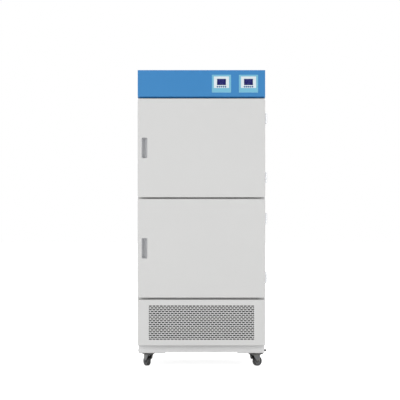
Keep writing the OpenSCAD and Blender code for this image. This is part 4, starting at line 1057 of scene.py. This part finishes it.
# %% Strip under the back panel
PLINTH_TOP = shell_lo[2] / MM
STRIP_IN, STRIP_BACK = 2.5, 5.2                  # from the cabinet's sides and from its back
strip_section = [(0.0, 0.0), (5.0, 0.0), (5.0, 1.6), (4.7, 3.0), (3.9, 4.1), (2.5, 4.6),
                 (1.1, 4.1), (0.3, 3.0), (0.0, 1.6)]
strip = bmesh.new()
half_width = (shell_hi[0] - shell_lo[0]) / 2 / MM - STRIP_IN
strip_y = shell_hi[1] / MM - FACE_Y / MM - STRIP_BACK
section = [(strip_y + a, b) for a, b in strip_section]
ends = []
for x in (-half_width, half_width):
    where = plane(at(x, 0, PLINTH_TOP), (0, 1, 0), (0, 0, 1), (1, 0, 0))
    ends.append(add_loop(strip, where, section, 0.0))
join(strip, *ends)
for ring in ends:
    strip.faces.new(ring)
piece("back_panel_strip", strip, "cabinet", "gasket_rubber", sharp=60)

# %% [markdown]
# ## Screws of the hinges
#
# Each hinge leaf is held by four screws, on the door's side and on the cabinet's. They
# face +X, so they are drawn on a plane that looks that way. The door's screws ride on the
# door and the cabinet's stay behind.

# %% Hinge screws
LEAF_T = 2.5
LEAF_FACE = DOOR_W / 2 + LEAF_T
HINGE_EDGE, SCREW_RISE, LEAF_SCREW_R = 103.0, 19.0, 3.6
DOOR_LEAF, CABINET_LEAF = (16, 34), (69, 87)     # the screws' depths behind the door faces


def hinge_screws(name, body, middles, depths):
    """Pan heads at the given heights and depths, on the outer face of the leaves."""
    heads = bmesh.new()
    for middle in middles:
        for hinge in (-1, 1):
            for rise in (-SCREW_RISE, SCREW_RISE):
                for depth in depths:
                    height = middle + hinge * (door_height / 2 - HINGE_EDGE) + rise
                    where = plane(at(LEAF_FACE, depth, height), (0, 1, 0), (0, 0, 1), (1, 0, 0))
                    screw(heads, where, 0.0, LEAF_SCREW_R)
    piece(name, heads, body, "hinge_steel", sharp=30)


for level in LEVELS:
    hinge_screws(level + "_door_hinge_screws", level + "_door", [door_middle[level]],
                 DOOR_LEAF)
hinge_screws("cabinet_hinge_screws", "cabinet", door_middle.values(), CABINET_LEAF)

# %% [markdown]
# ## The wheels
#
# A small institutional caster has a moulded grey centre and a tyre pressed over it. The
# centre has a boss at the axle, a dished web and a rim; the tyre has round shoulders. Both
# are turned round the axle, whose direction is read from the joint that the wheel spins on.
# Each fork also gets the two nuts that hold its axle.

# %% Wheels and axle nuts
TYRE_SEAT = 20.4                                 # the radius where tyre and centre meet
centre_profile = [(3.05, 10.8), (8.4, 10.8), (9.0, 10.2), (9.2, 6.4), (10.2, 5.4), (16.6, 5.0),
                  (18.0, 5.6), (18.6, 8.8), (19.4, 9.4), (TYRE_SEAT, 9.4), (TYRE_SEAT, 6.0)]
tyre_profile = [(TYRE_SEAT, 9.6), (22.0, 10.0), (23.6, 9.6), (24.6, 8.6), (25.0, 7.0)]
nut_profile = [(5.6, 13.7), (5.6, 16.4), (4.9, 17.1), (3.4, 17.1)]
shank_profile = [(3.0, 16.8), (3.0, 18.2), (2.6, 18.6)]
joints = frame["record"]["behaviour"]["joints"]
axis_of = {joint["name"]: joint["axis"] for joint in joints}
pivot_of = {joint["name"]: joint.get("pos_m") for joint in joints}


def both_ways(profile):
    """A profile and its mirror image, from one side of a wheel to the other."""
    return [(radius, -depth) for radius, depth in profile] + profile[::-1]


# The wheel centres get painted shade where they sit in the forks
polymer("wheel_grey", linear(124, 125, 127), 900.0, 0.46, 0.00004, linear(140, 140, 140),
        dust_amount=0.2, edge_amount=0.5, reach=0.05, corner_shade_amount=0.8)
for corner_name in CORNERS:
    low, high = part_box(corner_name + "_wheel")
    middle = [(a + b) / 2 for a, b in zip(low, high)]
    axle = Vector(axis_of[corner_name + "_wheel_spin"])
    where = plane(middle, (axle.y, -axle.x, 0), (0, 0, 1), axle)
    body = corner_name + "_wheel"
    tyre, centre_part, nuts = bmesh.new(), bmesh.new(), bmesh.new()
    turn(tyre, where, both_ways(tyre_profile), 56, bored=True)
    turn(centre_part, where, both_ways(centre_profile), 40, bored=True)
    for end in (1, -1):
        turn(nuts, where, [(radius, end * depth) for radius, depth in nut_profile], 6)
        turn(nuts, where, [(radius, end * depth) for radius, depth in shank_profile], 16)
    piece(corner_name + "_tyre", tyre, body, "tread_rubber", [body], sharp=50)
    grey = piece(corner_name + "_centre", centre_part, body, "pedal_plastic", [body])
    grey.data.materials[0] = finishes["wheel_grey"]
    piece(corner_name + "_axle_nuts", nuts, corner_name + "_fork", "zinc", sharp=25)
print("wheels at", round(middle[2] / MM, 1), "mm over the floor")

# %% [markdown]
# ## Dust covers over the swivels
#
# The balls of each swivel run in two rings under the mounting plate. A black moulded cover
# keeps hair and dirt out of them. It is a flat turned ring with a soft outer edge and a
# short skirt, and it turns with the fork.

# %% Swivel covers
COVER_BORE = 20.2
cover_profile = [(COVER_BORE, 0.4), (25.6, 0.4), (26.6, 0.9), (27.1, 2.0), (27.1, 4.4),
                 (26.6, 5.0), (25.4, 5.2), (24.8, 4.2), (COVER_BORE, 4.2)]
for corner_name in CORNERS:
    low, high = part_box(corner_name + "_fork")
    swivel = pivot_of[corner_name + "_swivel"]
    where = plane((swivel[0], swivel[1], high[2]), (1, 0, 0), (0, -1, 0), (0, 0, -1))
    cover = bmesh.new()
    turn(cover, where, cover_profile, 48, bored=True)
    piece(corner_name + "_swivel_cover", cover, corner_name + "_fork", "pedal_plastic",
          sharp=40)
print("swivel covers under z", round(high[2] / MM, 1), "mm")

# %% [markdown]
# ## Caps on the transport bolts
#
# The bolts on the right side of the plinth carry black plastic caps. The front one reads as
# a dark dot at the plinth's end. A cap is a six-sided foot with a domed crown.

# %% Bolt caps
base_lo, base_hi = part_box("base_frame")
BOLT_AHEAD, BOLT_RISE = 24.0, 14.0
foot_profile = [(7.4, -8.6), (7.4, -6.4), (6.8, -5.8)]
crown_profile = [(5.9, -6.0), (5.9, -1.2), (5.2, 0.6), (3.8, 1.7), (1.6, 2.3)]
caps = bmesh.new()
for name in ("front_right", "rear_right"):
    swivel = pivot_of[name + "_swivel"]
    where = plane((base_hi[0], swivel[1] - BOLT_AHEAD * MM, base_lo[2] + BOLT_RISE * MM),
                  (0, 1, 0), (0, 0, 1), (1, 0, 0))
    turn(caps, where, foot_profile, 6)
    turn(caps, where, crown_profile, 24)
piece("transport_bolt_caps", caps, "cabinet", "inlet_plastic", sharp=40)

# %% [markdown]
# ## The floor and the light
#
# The photograph stands on plain white. The floor is a pale matt sheet that still takes the
# object's shadow, lifted towards white only where the camera, a gloss or the glass looks at
# it. Large soft lamps stand in front, to the left and right, at a level at which a painted
# colour renders about as it is written. Weaker ones light the back and the top.

# %% Floor
FLOOR_REACH, FLOOR_TONE = 30, 0.8
floor_mesh = bmesh.new()
bmesh.ops.create_grid(floor_mesh, x_segments=1, y_segments=1, size=FLOOR_REACH)
floor_data = bpy.data.meshes.new("floor")
floor_mesh.to_mesh(floor_data)
floor_mesh.free()
floor = bpy.data.objects.new("floor", floor_data)
bpy.context.scene.collection.objects.link(floor)


def seen_directly(tree):
    """1 for rays from the camera, a gloss or through glass, else 0."""
    rays = put(tree, "LightPath").outputs
    seen = sums(tree, "MAXIMUM", rays["Is Camera Ray"], rays["Is Glossy Ray"])
    return sums(tree, "MAXIMUM", seen, rays["Is Transmission Ray"])


floor_finish = bpy.data.materials.new("pale_floor")
floor_finish.use_nodes = True
tree = floor_finish.node_tree
tree.nodes.remove(tree.nodes["Principled BSDF"])
matt = put(tree, "BsdfDiffuse", None, (FLOOR_TONE, FLOOR_TONE, FLOOR_TONE, 1)).outputs[0]
lift = put(tree, "Emission", None, (1, 1, 1, 1),
           sums(tree, "MULTIPLY", seen_directly(tree), FLOOR_TONE))
both = put(tree, "AddShader", None, matt, lift.outputs[0]).outputs[0]
tree.links.new(both, tree.nodes["Material Output"].inputs["Surface"])
floor_data.materials.append(floor_finish)
print("floor ready")

# %% World and lamps
AMBIENT = 0.42
world = bpy.data.worlds.new("studio")
bpy.context.scene.world = world
world.use_nodes = True
tree = world.node_tree
strength = remap(tree, seen_directly(tree), 0.0, 1.0, AMBIENT, 1.0)
background = tree.nodes["Background"]
background.inputs["Color"].default_value = (1, 1, 1, 1)
tree.links.new(strength, background.inputs["Strength"])


def lamp(name, place, aim, size, power):
    """A large square soft lamp that faces a point."""
    data = bpy.data.lights.new(name, "AREA")
    data.size = size
    data.energy = power
    made = bpy.data.objects.new(name, data)
    made.location = place
    made.rotation_euler = (Vector(aim) - Vector(place)).to_track_quat("-Z", "Y").to_euler()
    made.visible_camera = False
    bpy.context.scene.collection.objects.link(made)


AIM = (0, 0, 0.55)
lamp("front_left", (-3.4, -5.4, 1.7), AIM, 3.0, 112)
lamp("front_right", (3.6, -5.6, 1.2), AIM, 2.8, 104)
lamp("back_left", (-4.2, 4.6, 3.2), AIM, 3.0, 70)
lamp("back_right", (4.4, 4.4, 3.2), AIM, 3.0, 70)
lamp("overhead", (0, 0, 5.0), AIM, 3.0, 50)
bpy.context.scene.view_settings.view_transform = "Standard"
print("lamps ready")
